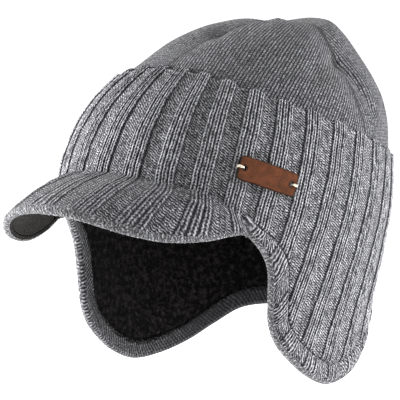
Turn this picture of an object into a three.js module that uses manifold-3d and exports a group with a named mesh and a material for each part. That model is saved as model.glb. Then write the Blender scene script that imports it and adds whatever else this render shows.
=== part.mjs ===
import * as THREE from 'three';
import Module from 'manifold-3d';
import { mergeVertices } from 'three/addons/utils/BufferGeometryUtils.js';

// Knitted cap with a peak and two hanging earflaps, in millimetres, +Z up.
// The wearer faces -Y and the wearer's left is +X.
// The origin is the centre of the head opening, level with the brow.
// Angles run round the cap from the front (0) over the wearer's left (90) to the nape (180).

// Main form
const HALF_LENGTH = 105;
const HALF_WIDTH = 89;
const CROWN_HEIGHT = 88;
const CROWN_LEAN = 42;
const FLAP_DROP = 124.5;

// Cloth and clearances
const CROWN_WALL = 2.2;
const BAND_WALL = 1.5;
const RIB_RISE = 1.2;
const LINING_WALL = 3;
const PLY_GAP = 0.6;
const EDGE_GAP = 0.9;

// Crown
const SEAM_DIP = 3.2;
const SEAM_HALF_WIDTH = 11;
const SEAM_FADE = 26;
const SEAM_ANGLES = [0, 104, 180, -104];

// Ribbed band
const BAND_TOP_FRONT = 59;
const BAND_TOP_BACK = -5;
const BAND_LAP = 8;
const BROW_LAP = 6;
const BROW_SPREAD = 0.86;
const RIB_COUNT = 29;
const RIB_SHARE = 0.56;
const RIB_FLANK_SHARE = 0.1;
const RIB_LEAN = 0.36;
const RIB_OVERRUN = 2;

// Turned hem of the flaps and nape
const HEM_OUTER_WIDTH = 12.5;
const HEM_INNER_WIDTH = 10;
const HEM_EDGE_ROUND = 2.4;
const HEM_CORNER_SHARE = 0.3;
const HEM_TEMPLE_SHARE = 0.6;
const HEM_WIDEN_LENGTH = 34;
const HEM_PROUD = 2.6;

// Peak
const TEMPLE_ANGLE = 55;
const CREASE_FRONT = 1;
const CREASE_FALL = 18;
const CREASE_END_FALL = 12;
const PEAK_REACH = 91;
const PEAK_END_REACH = 1;
const PEAK_TIP_DROP = 20.5;
const PEAK_END_DROP = 6;
const PEAK_SIDE_SAG = 13;
const PEAK_TWIST = 8;
const PEAK_THICKNESS = 4.8;
const PEAK_END_THICKNESS = 3.4;
const PEAK_BULGE = 2;
const PEAK_LIP = 2.6;
const PEAK_RIB_RISE = 1;
const PEAK_RIM_RIB_SHARE = 0.4;
const PEAK_RECESS = 1.8;
const PEAK_END_RECESS = 0.3;
const PEAK_SEAT_MARGIN = 1.5;
const UNDERSIDE_WALL = 1.2;
const UNDERSIDE_SPREAD = 0.88;

// Course of the peak's rim: how evenly its stations spread, how square its corners
// are and how soon it climbs to the temples
const RIM_EVENNESS = 0.58;
const RIM_CORNER_POWER = 0.7;
const RIM_CLIMB_POWER = 0.65;

// Where the peak narrows, its lip and margin are shares of its length, and its
// recess fades out over shares of its spread
const LIP_MAX_SHARE = 0.35;
const MARGIN_MAX_SHARE = 0.1;
const RECESS_FADE_START = 0.04;
const RECESS_FADE_END = 0.09;

// Leather label on the left front
const LABEL_LENGTH = 35;
const LABEL_HEIGHT = 13.4;
const LABEL_WALL = 1.5;
const LABEL_CORNER = 1.6;
const LABEL_ANGLE = 61;
const LABEL_MIDDLE_HEIGHT = 0.2;
const LABEL_TILT = 19;
const LABEL_HOLE_WIDTH = 2.6;
const LABEL_HOLE_INSET = 3.2;

// Sections of the outer wall from the apex down. The radius is a share of the half
// length and half width, the rise a share of the crown height, or of the flap drop
// below the brow, and the lean a share of the crown lean.
const WALL_SECTIONS = [
  { radius: 0.0, rise: 1.0, lean: 1.0 },
  { radius: 0.19, rise: 0.99, lean: 0.95 },
  { radius: 0.35, rise: 0.955, lean: 0.865 },
  { radius: 0.525, rise: 0.85, lean: 0.67 },
  { radius: 0.675, rise: 0.71, lean: 0.53 },
  { radius: 0.8, rise: 0.57, lean: 0.385 },
  { radius: 0.89, rise: 0.432, lean: 0.274 },
  { radius: 0.95, rise: 0.28, lean: 0.162 },
  { radius: 0.98, rise: 0.132, lean: 0.07 },
  { radius: 1.0, rise: 0.0, lean: 0.014 },
  { radius: 1.01, rise: -0.155, lean: -0.03 },
  { radius: 0.985, rise: -0.405, lean: -0.116 },
  { radius: 0.945, rise: -0.645, lean: -0.208 },
  { radius: 0.925, rise: -0.795, lean: -0.255 },
  { radius: 0.905, rise: -0.98, lean: -0.29 },
  { radius: 0.89, rise: -1.15, lean: -0.31 },
];

// Soft folds pressed into the crown, and with a negative depth its fuller places.
// Each runs from one angle and height share to another; the depth and half width
// are shares of the seam's.
const CROWN_FOLDS = [
  { fromAngle: 118, fromRise: 0.93, toAngle: 150, toRise: 0.93, depth: -0.9, spread: 1.6 },
  { fromAngle: 80, fromRise: 0.68, toAngle: 103, toRise: 0.74, depth: 0.5, spread: 0.45 },
  { fromAngle: 104, fromRise: 0.73, toAngle: 113, toRise: 0.4, depth: 0.6, spread: 0.45 },
  { fromAngle: -14, fromRise: 0.96, toAngle: 10, toRise: 0.9, depth: 0.5, spread: 0.5 },
  { fromAngle: -12, fromRise: 0.84, toAngle: 12, toRise: 0.78, depth: 0.45, spread: 0.5 },
];

// Edge of the left flap and nape, from the temple back. The drop is a share of the
// flap drop.
const HEM_POINTS = [
  { angle: 55, drop: 0.25 },
  { angle: 61, drop: 0.335 },
  { angle: 64.5, drop: 0.42 },
  { angle: 66.3, drop: 0.56 },
  { angle: 67.8, drop: 0.69 },
  { angle: 71.8, drop: 0.79 },
  { angle: 79, drop: 0.88 },
  { angle: 87, drop: 0.952 },
  { angle: 97, drop: 1.0 },
  { angle: 109, drop: 0.985 },
  { angle: 121, drop: 0.93 },
  { angle: 132, drop: 0.847 },
  { angle: 142, drop: 0.775 },
  { angle: 154, drop: 0.752 },
  { angle: 167, drop: 0.75 },
  { angle: 180, drop: 0.75 },
];

// Facets
const CROWN_COLUMNS = 52;
const CROWN_ROWS = 10;
const PLY_ROWS = 7;
const LINING_COLUMNS = 76;
const HEM_STATIONS = 28;
const PEAK_ROWS = 4;
const LABEL_COLUMNS = 12;
const LABEL_ROWS = 4;
const HOLE_SIDES = 10;
const GIRTH_STEPS = 720;
const BROW_STEPS = 5;
const HEM_EDGE_STEPS = 40;
const LEAST_EDGE_TURN = 0.3;
const PEAK_END_STATION = 0.97;

// Steps and limits of the searches and slopes
const SEARCH_STEPS = 28;
const SEARCH_END_ANGLE = 220;
const SLOPE_TURN = 1.5;
const SLOPE_STEP = 0.04;
const SLOPE_SPREAD = 0.02;

// Colours and finish
const FINISHES = {
  crown: { color: 0x4c4d50, roughness: 0.95, metalness: 0 },
  rib_band: { color: 0x77787c, roughness: 0.95, metalness: 0 },
  flap_hem: { color: 0x7a7b80, roughness: 0.95, metalness: 0 },
  peak: { color: 0x6f7074, roughness: 0.95, metalness: 0 },
  peak_underside: { color: 0x3a3733, roughness: 0.9, metalness: 0 },
  pile_lining: { color: 0x121214, roughness: 1, metalness: 0 },
  leather_label: { color: 0x6b4327, roughness: 0.6, metalness: 0 },
};

const wasm = await Module();
wasm.setup();

const BAND_OUTER_PROUD = PLY_GAP + BAND_WALL;
const RIB_TOP_PROUD = BAND_OUTER_PROUD + RIB_RISE;
const PEAK_SEAT_PROUD = RIB_TOP_PROUD + PLY_GAP;

function radians(degrees) {
  return THREE.MathUtils.degToRad(degrees);
}

// Smooth curve through points that never overshoots between them.
function monotoneCurve(xs, ys) {
  const last = xs.length - 1;
  const steps = [];
  const slopes = [];
  for (let i = 0; i < last; i += 1) {
    steps.push(xs[i + 1] - xs[i]);
    slopes.push((ys[i + 1] - ys[i]) / steps[i]);
  }
  const tangents = [slopes[0]];
  for (let i = 1; i < last; i += 1) {
    const near = steps[i - 1] + 2 * steps[i];
    const far = 2 * steps[i - 1] + steps[i];
    const bends = slopes[i - 1] * slopes[i] > 0;
    tangents.push(bends ? (near + far) / (near / slopes[i - 1] + far / slopes[i]) : 0);
  }
  tangents.push(slopes[last - 1]);
  return (x) => {
    const at = THREE.MathUtils.clamp(x, xs[0], xs[last]);
    let i = 0;
    while (i < last - 1 && at > xs[i + 1]) i += 1;
    const t = (at - xs[i]) / steps[i];
    const leaving = tangents[i] * steps[i] * t * (1 - t) ** 2;
    const arriving = tangents[i + 1] * steps[i] * t ** 2 * (1 - t);
    return ys[i] + (ys[i + 1] - ys[i]) * t * t * (3 - 2 * t) + leaving - arriving;
  };
}

const SECTION_INDEX = WALL_SECTIONS.map((row, index) => index);
const radiusShareAt = monotoneCurve(SECTION_INDEX, WALL_SECTIONS.map((row) => row.radius));
const leanAt = monotoneCurve(SECTION_INDEX, WALL_SECTIONS.map((row) => row.lean * CROWN_LEAN));
const heightAt = monotoneCurve(
  SECTION_INDEX,
  WALL_SECTIONS.map((row) => row.rise * (row.rise > 0 ? CROWN_HEIGHT : FLAP_DROP)),
);

// Place along the wall, counted in sections, that lies at a height.
function alongAt(height) {
  let above = 0;
  let below = WALL_SECTIONS.length - 1;
  for (let step = 0; step < SEARCH_STEPS; step += 1) {
    const middle = (above + below) / 2;
    if (heightAt(middle) > height) above = middle;
    else below = middle;
  }
  return (above + below) / 2;
}

function bandTop(angle) {
  const middle = (BAND_TOP_FRONT + BAND_TOP_BACK) / 2;
  return middle + ((BAND_TOP_FRONT - BAND_TOP_BACK) / 2) * Math.cos(radians(angle));
}

// Height of the crease between band and peak, which dives at the temples.
function creaseHeight(angle) {
  const share = angle / TEMPLE_ANGLE;
  return CREASE_FRONT - CREASE_FALL * share ** 2 - CREASE_END_FALL * share ** 12;
}

function plainWall(angle, along) {
  const share = radiusShareAt(along);
  return new THREE.Vector3(
    HALF_WIDTH * share * Math.sin(radians(angle)),
    leanAt(along) - HALF_LENGTH * share * Math.cos(radians(angle)),
    heightAt(along),
  );
}

// Depth of the seams and folds pressed into the crown at a point of its wall.
function crownDip(angle, point) {
  const fade = THREE.MathUtils.smoothstep(point.z, bandTop(angle), bandTop(angle) + SEAM_FADE);
  const radius = Math.hypot(point.x, point.y - CROWN_LEAN);
  let dip = 0;
  for (const seam of SEAM_ANGLES) {
    const turn = Math.abs(THREE.MathUtils.euclideanModulo(angle - seam + 180, 360) - 180);
    const away = radians(turn) * Math.min(radius, HALF_WIDTH);
    dip = Math.max(dip, SEAM_DIP * Math.exp(-((away / SEAM_HALF_WIDTH) ** 2)));
  }
  for (const fold of CROWN_FOLDS) {
    const from = plainWall(fold.fromAngle, alongAt(fold.fromRise * CROWN_HEIGHT));
    const to = plainWall(fold.toAngle, alongAt(fold.toRise * CROWN_HEIGHT));
    const nearest = new THREE.Line3(from, to).closestPointToPoint(point, true, new THREE.Vector3());
    const away = nearest.distanceTo(point) / (fold.spread * SEAM_HALF_WIDTH);
    dip += fold.depth * SEAM_DIP * Math.exp(-(away ** 2));
  }
  return dip * fade;
}

// Point of the outer wall, with the crown's seams and folds pressed in.
function wallSurface(angle, along) {
  const point = plainWall(angle, along);
  const core = new THREE.Vector3(0, CROWN_LEAN / 2, 0);
  const outward = point.clone().sub(core).normalize();
  return point.addScaledVector(outward, -crownDip(angle, point));
}

// Point that stands proud of the outer wall, or inside it when proud is negative.
function wallPoint(angle, along, proud) {
  const base = wallSurface(angle, along);
  const left = wallSurface(angle + SLOPE_TURN, along);
  const right = wallSurface(angle - SLOPE_TURN, along);
  const above = wallSurface(angle, Math.max(along - SLOPE_STEP, 0));
  const below = wallSurface(angle, along + SLOPE_STEP);
  const normal = below.sub(above).cross(left.sub(right)).normalize();
  if (along < SLOPE_STEP) normal.set(0, 0, 1);
  return base.addScaledVector(normal, proud);
}

function wallAt(angle, height, proud) {
  return wallPoint(angle, alongAt(height), proud);
}

// Girth of the brow line in millimetres from the front to an angle, and back.
const GIRTH_TABLE = [0];
for (let step = 0; step < GIRTH_STEPS; step += 1) {
  const turn = radians(((step + 0.5) * 180) / GIRTH_STEPS);
  const rate = Math.hypot(HALF_WIDTH * Math.cos(turn), HALF_LENGTH * Math.sin(turn));
  GIRTH_TABLE.push(GIRTH_TABLE[step] + (rate * Math.PI) / GIRTH_STEPS);
}
const HALF_GIRTH = GIRTH_TABLE[GIRTH_STEPS];

function girthAt(angle) {
  const place = (Math.abs(angle) / 180) * GIRTH_STEPS;
  const step = Math.min(Math.floor(place), GIRTH_STEPS - 1);
  const length = THREE.MathUtils.lerp(GIRTH_TABLE[step], GIRTH_TABLE[step + 1], place - step);
  return Math.sign(angle) * length;
}

function angleAt(girth) {
  let low = 0;
  let high = SEARCH_END_ANGLE;
  for (let step = 0; step < SEARCH_STEPS; step += 1) {
    const middle = (low + high) / 2;
    const length = middle > 180 ? HALF_GIRTH + radians(middle - 180) * HALF_WIDTH : girthAt(middle);
    if (length < Math.abs(girth)) low = middle;
    else high = middle;
  }
  return Math.sign(girth) * low;
}

// Ribs lean back with the crown, so their angle changes with the height.
function leaningAngle(browAngle, height) {
  const along = alongAt(height);
  const shift = RIB_LEAN * height - leanAt(along);
  const reach = HALF_LENGTH * radiusShareAt(along);
  return browAngle + THREE.MathUtils.radToDeg((Math.sin(radians(browAngle)) * shift) / reach);
}

// Height where a leaning line, followed down from the top, crosses an edge.
function crossing(browAngle, edge, from, to) {
  let above = from;
  let below = to;
  for (let step = 0; step < SEARCH_STEPS; step += 1) {
    const middle = (above + below) / 2;
    if (middle > edge(Math.abs(leaningAngle(browAngle, middle)))) above = middle;
    else below = middle;
  }
  return (above + below) / 2;
}

// Closed solid between an outer and an inner skin, each given by column and row.
// A skin that closes around joins its last column to its first; with a pole its
// first row is one point.
function skinSolid({ columns, rows, around, pole, outer, inner }) {
  const positions = [];
  const faces = [];
  const skins = [outer, inner].map((skin) => {
    const grid = [];
    for (let column = 0; column < (around ? columns : columns + 1); column += 1) {
      const line = [];
      for (let row = 0; row <= rows; row += 1) {
        if (pole && row === 0 && column > 0) {
          line.push(grid[0][0]);
        } else {
          const point = skin(column, row);
          line.push(positions.length / 3);
          positions.push(point.x, point.y, point.z);
        }
      }
      grid.push(line);
    }
    if (around) grid.push(grid[0]);
    return grid;
  });
  const addFace = (a, b, c) => {
    if (a !== b && b !== c && a !== c) faces.push(a, b, c);
  };
  const addQuad = (a, b, c, d) => {
    addFace(a, b, c);
    addFace(a, c, d);
  };
  const [front, back] = skins;
  for (let i = 0; i < columns; i += 1) {
    for (let j = 0; j < rows; j += 1) {
      addQuad(front[i][j], front[i][j + 1], front[i + 1][j + 1], front[i + 1][j]);
      addQuad(back[i][j], back[i + 1][j], back[i + 1][j + 1], back[i][j + 1]);
    }
    addQuad(front[i][rows], back[i][rows], back[i + 1][rows], front[i + 1][rows]);
    if (!pole) addQuad(front[i][0], front[i + 1][0], back[i + 1][0], back[i][0]);
  }
  if (!around) {
    for (let j = 0; j < rows; j += 1) {
      addQuad(front[0][j], back[0][j], back[0][j + 1], front[0][j + 1]);
      addQuad(front[columns][j], front[columns][j + 1], back[columns][j + 1], back[columns][j]);
    }
  }
  const geometry = new THREE.BufferGeometry();
  geometry.setAttribute('position', new THREE.Float32BufferAttribute(positions, 3));
  geometry.setIndex(faces);
  return geometry;
}

// Closed solid swept through sections that all have the same number of points.
function sweptSolid(sections) {
  const positions = [];
  const faces = [];
  const size = sections[0].length;
  for (const section of sections) {
    for (const point of section) positions.push(point.x, point.y, point.z);
  }
  for (let i = 0; i < sections.length - 1; i += 1) {
    for (let j = 0; j < size; j += 1) {
      const a = i * size + j;
      const b = i * size + ((j + 1) % size);
      faces.push(a, b, b + size, a, b + size, a + size);
    }
  }
  const flat = sections[0].map((point) => new THREE.Vector2(point.flatX, point.flatY));
  const end = (sections.length - 1) * size;
  for (const [a, b, c] of THREE.ShapeUtils.triangulateShape(flat, [])) {
    faces.push(c, b, a);
    faces.push(end + a, end + b, end + c);
  }
  const geometry = new THREE.BufferGeometry();
  geometry.setAttribute('position', new THREE.Float32BufferAttribute(positions, 3));
  geometry.setIndex(faces);
  return geometry;
}

// Path of the hem over the unrolled wall: girth along x, height along y.
const hemPath = new THREE.CatmullRomCurve3(
  HEM_POINTS.map(({ angle, drop }) => new THREE.Vector3(girthAt(angle), -drop * FLAP_DROP, 0)),
  false,
  'centripetal',
);
const HEM_LENGTH = hemPath.getLength();

// Share of the full hem width that it has near the temple.
function hemWidening(share) {
  const grown = THREE.MathUtils.smoothstep(share * HEM_LENGTH, 0, HEM_WIDEN_LENGTH);
  return THREE.MathUtils.lerp(HEM_TEMPLE_SHARE, 1, grown);
}

// Angle and height of a point that lies in from the hem's edge.
function hemInset(share, inset) {
  const edge = hemPath.getPointAt(share);
  const ahead = hemPath.getTangentAt(share);
  if (share === 1) ahead.set(1, 0, 0);
  return {
    angle: angleAt(edge.x - ahead.y * inset),
    height: edge.y + ahead.x * inset,
  };
}

// Lower edge of a ply: the brow line in front, and behind it a line inside the hem.
function lowerEdge(browLap, hemWidth) {
  const points = [];
  for (let step = 0; step <= BROW_STEPS; step += 1) {
    const angle = (step / BROW_STEPS) * BROW_SPREAD * TEMPLE_ANGLE;
    points.push({ angle, height: creaseHeight(angle) - browLap });
  }
  for (let step = 0; step <= HEM_EDGE_STEPS; step += 1) {
    const share = step / HEM_EDGE_STEPS;
    const point = hemInset(share, hemWidth * hemWidening(share) + EDGE_GAP);
    if (point.angle > points[points.length - 1].angle + LEAST_EDGE_TURN) points.push(point);
  }
  return monotoneCurve(
    points.map((point) => point.angle),
    points.map((point) => point.height),
  );
}

function makeCrown() {
  const point = (column, row, proud) => {
    const angle = (column / CROWN_COLUMNS) * 360;
    const edge = alongAt(bandTop(angle) - BAND_LAP);
    return wallPoint(angle, (row / CROWN_ROWS) * edge, proud);
  };
  return skinSolid({
    columns: CROWN_COLUMNS,
    rows: CROWN_ROWS,
    around: true,
    pole: true,
    outer: (column, row) => point(column, row, 0),
    inner: (column, row) => point(column, row, -CROWN_WALL),
  });
}

// Columns of the band: four to each rib, at the foot and top of its two flanks.
function bandColumns() {
  const half = RIB_SHARE / 2;
  const columns = [];
  for (let rib = 0; rib < RIB_COUNT; rib += 1) {
    const places = [
      { offset: -half, raised: 0 },
      { offset: RIB_FLANK_SHARE - half, raised: 1 },
      { offset: half - RIB_FLANK_SHARE, raised: 1 },
      { offset: half, raised: 0 },
    ];
    for (const { offset, raised } of places) {
      const turns = THREE.MathUtils.euclideanModulo((rib + offset) / RIB_COUNT + 0.5, 1) - 0.5;
      columns.push({ angle: angleAt(turns * 2 * HALF_GIRTH), raised });
    }
  }
  return columns;
}

function makeRibBand() {
  const columns = bandColumns();
  const edge = lowerEdge(BROW_LAP, HEM_OUTER_WIDTH);
  const spans = columns.map(({ angle, raised }) => {
    const top = crossing(angle, bandTop, CROWN_HEIGHT, -FLAP_DROP);
    const lap = crossing(angle, (at) => bandTop(at) - BAND_LAP, CROWN_HEIGHT, -FLAP_DROP);
    const bottom = crossing(angle, edge, lap, -FLAP_DROP);
    return { top: top + raised * RIB_OVERRUN, lap, bottom };
  });
  const point = (column, row, proud) => {
    const { top, lap, bottom } = spans[column];
    const below = (row - 1) / PLY_ROWS;
    const height = row === 0 ? top : THREE.MathUtils.lerp(lap, bottom, below);
    return wallAt(leaningAngle(columns[column].angle, height), height, proud);
  };
  return skinSolid({
    columns: columns.length,
    rows: PLY_ROWS + 1,
    around: true,
    pole: false,
    outer: (column, row) => point(column, row, BAND_OUTER_PROUD + columns[column].raised * RIB_RISE),
    inner: (column, row) => point(column, row, PLY_GAP),
  });
}

function makePileLining() {
  const edge = lowerEdge(BROW_LAP, HEM_INNER_WIDTH);
  const spans = [];
  for (let column = 0; column < LINING_COLUMNS; column += 1) {
    const turns = THREE.MathUtils.euclideanModulo(column / LINING_COLUMNS + 0.5, 1) - 0.5;
    const angle = angleAt(turns * 2 * HALF_GIRTH);
    const start = (at) => bandTop(at) - BAND_LAP - EDGE_GAP;
    const top = crossing(angle, start, CROWN_HEIGHT, -FLAP_DROP);
    spans.push({ angle, top, bottom: crossing(angle, edge, top, -FLAP_DROP) });
  }
  const point = (column, row, proud) => {
    const { angle, top, bottom } = spans[column];
    const height = THREE.MathUtils.lerp(top, bottom, row / PLY_ROWS);
    return wallAt(leaningAngle(angle, height), height, proud);
  };
  return skinSolid({
    columns: LINING_COLUMNS,
    rows: PLY_ROWS,
    around: true,
    pole: false,
    outer: (column, row) => point(column, row, 0),
    inner: (column, row) => point(column, row, -LINING_WALL),
  });
}

// Section of the turned hem: inset from the edge against how far it stands proud.
function hemSection(share, side) {
  const widening = hemWidening(share);
  const outer = HEM_OUTER_WIDTH * widening;
  const inner = HEM_INNER_WIDTH * widening;
  const inside = -LINING_WALL - PLY_GAP / 2;
  const middle = (HEM_PROUD + inside) / 2;
  const corner = HEM_CORNER_SHARE * HEM_EDGE_ROUND;
  const outline = [
    [outer, HEM_PROUD],
    [HEM_EDGE_ROUND, HEM_PROUD],
    [corner, HEM_PROUD - corner],
    [0, middle],
    [corner, inside + corner],
    [HEM_EDGE_ROUND, inside],
    [inner, inside],
    [inner, PLY_GAP],
    [outer, PLY_GAP],
  ];
  return outline.map(([inset, proud]) => {
    const { angle, height } = hemInset(share, inset);
    const point = wallAt(side * angle, height, proud);
    point.flatX = inset;
    point.flatY = proud;
    return point;
  });
}

function makeFlapHem() {
  const sections = [];
  for (let step = 0; step <= HEM_STATIONS; step += 1) {
    sections.push(hemSection(step / HEM_STATIONS, 1));
  }
  for (let step = HEM_STATIONS - 1; step >= 0; step -= 1) {
    sections.push(hemSection(step / HEM_STATIONS, -1));
  }
  return sweptSolid(sections);
}

// Rim of the peak for a share of its spread, from -1 at the right temple to 1.
function peakRim(spread) {
  const temple = wallAt(TEMPLE_ANGLE, creaseHeight(TEMPLE_ANGLE) - PEAK_END_DROP, PEAK_SEAT_PROUD);
  const turn = (Math.PI / 2) * THREE.MathUtils.lerp(spread ** 3, spread, RIM_EVENNESS);
  const ahead = Math.cos(turn);
  const aside = Math.sin(turn);
  const tip = CREASE_FRONT - PEAK_TIP_DROP;
  return new THREE.Vector3(
    temple.x * Math.sign(aside) * Math.abs(aside) ** RIM_CORNER_POWER,
    temple.y - PEAK_END_REACH - PEAK_REACH * ahead ** 2,
    tip + (temple.z - tip) * Math.max(1 - ahead, 0) ** RIM_CLIMB_POWER
      - PEAK_SIDE_SAG * Math.sin(2 * turn) ** 2 + PEAK_TWIST * aside * ahead,
  );
}

// The peak at a share of its spread: the line from its seat to its rim, the
// direction out of its top, its reach to the rolled rim, lip, margin and thickness.
function peakFrame(spread) {
  const angle = spread * TEMPLE_ANGLE;
  const fullness = 1 - Math.abs(spread) ** 3;
  const thickness = THREE.MathUtils.lerp(PEAK_END_THICKNESS, PEAK_THICKNESS, fullness);
  const seat = wallAt(angle, creaseHeight(angle) - thickness, PEAK_SEAT_PROUD);
  const rim = peakRim(spread);
  const before = Math.max(spread - SLOPE_SPREAD, -1);
  const after = Math.min(spread + SLOPE_SPREAD, 1);
  const along = rim.clone().sub(seat);
  const across = peakRim(after).sub(peakRim(before)).add(
    wallAt(after * TEMPLE_ANGLE, creaseHeight(after * TEMPLE_ANGLE), 0).sub(
      wallAt(before * TEMPLE_ANGLE, creaseHeight(before * TEMPLE_ANGLE), 0),
    ),
  );
  const length = along.length();
  const ahead = along.clone().normalize();
  const up = ahead.clone().cross(across).normalize();
  const reach = length - thickness / 2;
  const lip = Math.min(PEAK_LIP, LIP_MAX_SHARE * length);
  const margin = Math.min(PEAK_SEAT_MARGIN, MARGIN_MAX_SHARE * length);
  return { angle, seat, ahead, up, reach, lip, margin, thickness, fullness };
}

function peakPoint(frame, distance, rise) {
  return frame.seat.clone().addScaledVector(frame.ahead, distance).addScaledVector(frame.up, rise);
}

// Section of the peak from its seat, under its recessed underside, round the rolled
// rim and back over its top.
function peakSection(spread, raised) {
  const frame = peakFrame(spread);
  const { reach, margin } = frame;
  const roll = frame.thickness / 2;
  const toEnd = 1 - Math.abs(spread);
  const deep = THREE.MathUtils.smoothstep(toEnd, RECESS_FADE_START, RECESS_FADE_END);
  const recess = THREE.MathUtils.lerp(PEAK_END_RECESS, PEAK_RECESS, deep);
  const outline = [
    [margin, 0],
    [margin, recess],
  ];
  const inner = reach - frame.lip;
  for (let row = 1; row < PEAK_ROWS; row += 1) {
    outline.push([THREE.MathUtils.lerp(margin, inner, row / PEAK_ROWS), recess]);
  }
  outline.push([inner, recess], [inner, 0], [reach, 0]);
  for (const turn of [-45, 0, 45]) {
    outline.push([
      reach + roll * Math.cos(radians(turn)),
      roll + roll * Math.sin(radians(turn)),
    ]);
  }
  for (let row = 0; row < PEAK_ROWS; row += 1) {
    const share = 1 - row / PEAK_ROWS;
    const bulge = PEAK_BULGE * frame.fullness * Math.sin(Math.PI * share);
    const rib = raised * PEAK_RIB_RISE * frame.fullness * (row === 0 ? PEAK_RIM_RIB_SHARE : 1);
    outline.push([share * reach, frame.thickness + bulge + rib]);
  }
  const points = outline.map(([distance, rise]) => peakPoint(frame, distance, rise));
  points.push(wallAt(frame.angle, creaseHeight(frame.angle), PEAK_SEAT_PROUD));
  points.push(frame.seat);
  outline.push([0, frame.thickness], [0, 0]);
  points.forEach((point, index) => {
    [point.flatX, point.flatY] = outline[index];
  });
  return points;
}

// Stations of the peak between two spreads, from left to right. They follow the
// band's columns, so the peak's ribs run on from the band's.
function peakStations(limit) {
  const stations = bandColumns()
    .map(({ angle, raised }) => ({ spread: angle / TEMPLE_ANGLE, raised }))
    .filter(({ spread }) => Math.abs(spread) < PEAK_END_STATION * limit);
  stations.push({ spread: limit, raised: 0 }, { spread: -limit, raised: 0 });
  return stations.sort((one, other) => other.spread - one.spread);
}

function makePeak() {
  return sweptSolid(peakStations(1).map(({ spread, raised }) => peakSection(spread, raised)));
}

function makePeakUnderside() {
  const stations = peakStations(UNDERSIDE_SPREAD);
  const point = (column, row, rise) => {
    const frame = peakFrame(stations[column].spread);
    const start = frame.margin + EDGE_GAP;
    const end = frame.reach - frame.lip - EDGE_GAP;
    return peakPoint(frame, THREE.MathUtils.lerp(start, end, row / PEAK_ROWS), rise);
  };
  const top = PEAK_RECESS - PLY_GAP;
  return skinSolid({
    columns: stations.length - 1,
    rows: PEAK_ROWS,
    around: false,
    pole: false,
    outer: (column, row) => point(column, row, top - UNDERSIDE_WALL),
    inner: (column, row) => point(column, row, top),
  });
}

// Point of the label: across its length, up its height and out from the band. The wall
// leans back as it rises, so the girth gives way to keep the label's corners square.
function labelPoint(across, up, out) {
  const tilt = radians(LABEL_TILT);
  const turn = radians(LABEL_ANGLE);
  const girth = girthAt(LABEL_ANGLE) + across * Math.cos(tilt) + up * Math.sin(tilt);
  const height = LABEL_MIDDLE_HEIGHT - across * Math.sin(tilt) + up * Math.cos(tilt);
  const lean = leanAt(alongAt(height)) - leanAt(alongAt(LABEL_MIDDLE_HEIGHT));
  const backward = HALF_LENGTH * Math.sin(turn);
  const slope = backward / Math.hypot(backward, HALF_WIDTH * Math.cos(turn));
  return wallAt(angleAt(girth - lean * slope), height, RIB_TOP_PROUD + PLY_GAP + out);
}

function toSolid(geometry) {
  const bare = new THREE.BufferGeometry();
  bare.setAttribute('position', geometry.getAttribute('position').clone());
  if (geometry.index) bare.setIndex(geometry.index.clone());
  const merged = mergeVertices(bare);
  const mesh = new wasm.Mesh({
    numProp: 3,
    vertProperties: new Float32Array(merged.getAttribute('position').array),
    triVerts: new Uint32Array(merged.index.array),
  });
  return new wasm.Manifold(mesh);
}

function fromSolid(solid) {
  const mesh = solid.getMesh();
  const geometry = new THREE.BufferGeometry();
  geometry.setAttribute('position', new THREE.BufferAttribute(mesh.vertProperties, 3));
  geometry.setIndex(new THREE.BufferAttribute(mesh.triVerts, 1));
  return geometry;
}

function makeLeatherLabel() {
  const halfLength = LABEL_LENGTH / 2;
  const halfHeight = LABEL_HEIGHT / 2;
  const point = (column, row, out) => {
    const across = THREE.MathUtils.lerp(-halfLength, halfLength, column / LABEL_COLUMNS);
    const corner = Math.max(Math.abs(across) - (halfLength - LABEL_CORNER), 0);
    const trim = LABEL_CORNER - Math.sqrt(Math.max(LABEL_CORNER ** 2 - corner ** 2, 0));
    const up = THREE.MathUtils.lerp(1, -1, row / LABEL_ROWS) * (halfHeight - trim);
    return labelPoint(across, up, out);
  };
  let plate = toSolid(skinSolid({
    columns: LABEL_COLUMNS,
    rows: LABEL_ROWS,
    around: false,
    pole: false,
    outer: (column, row) => point(column, row, LABEL_WALL),
    inner: (column, row) => point(column, row, 0),
  }));
  for (const side of [-1, 1]) {
    const across = side * (halfLength - LABEL_HOLE_INSET);
    const low = labelPoint(across, 0, -LABEL_WALL);
    const high = labelPoint(across, 0, 2 * LABEL_WALL);
    const drill = new THREE.CylinderGeometry(
      LABEL_HOLE_WIDTH / 2,
      LABEL_HOLE_WIDTH / 2,
      high.distanceTo(low),
      HOLE_SIDES,
    );
    const axis = high.clone().sub(low).normalize();
    drill.applyQuaternion(new THREE.Quaternion().setFromUnitVectors(new THREE.Vector3(0, 1, 0), axis));
    drill.translate(...low.clone().lerp(high, 0.5).toArray());
    plate = plate.subtract(toSolid(drill));
  }
  return fromSolid(plate);
}

const cap = new THREE.Group();
const PIECES = {
  crown: makeCrown,
  rib_band: makeRibBand,
  flap_hem: makeFlapHem,
  peak: makePeak,
  peak_underside: makePeakUnderside,
  pile_lining: makePileLining,
  leather_label: makeLeatherLabel,
};
for (const [name, make] of Object.entries(PIECES)) {
  const mesh = new THREE.Mesh(make(), new THREE.MeshStandardMaterial(FINISHES[name]));
  mesh.name = name;
  cap.add(mesh);
}

export default cap;
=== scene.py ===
"""Knitted cap with a peak and two hanging earflaps: its cloth, label, studio and camera.

The wearer faces -Y and the wearer's left is +X. Angles run round the cap in degrees, from
the front (0) over the wearer's left (90) to the nape (180). Sizes are in millimetres and
become metres where a mesh is made.
"""

import logging
import math
from dataclasses import dataclass, field
from enum import Enum
from typing import Callable

import bpy
import numpy as np
from mathutils import Matrix, Vector


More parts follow.
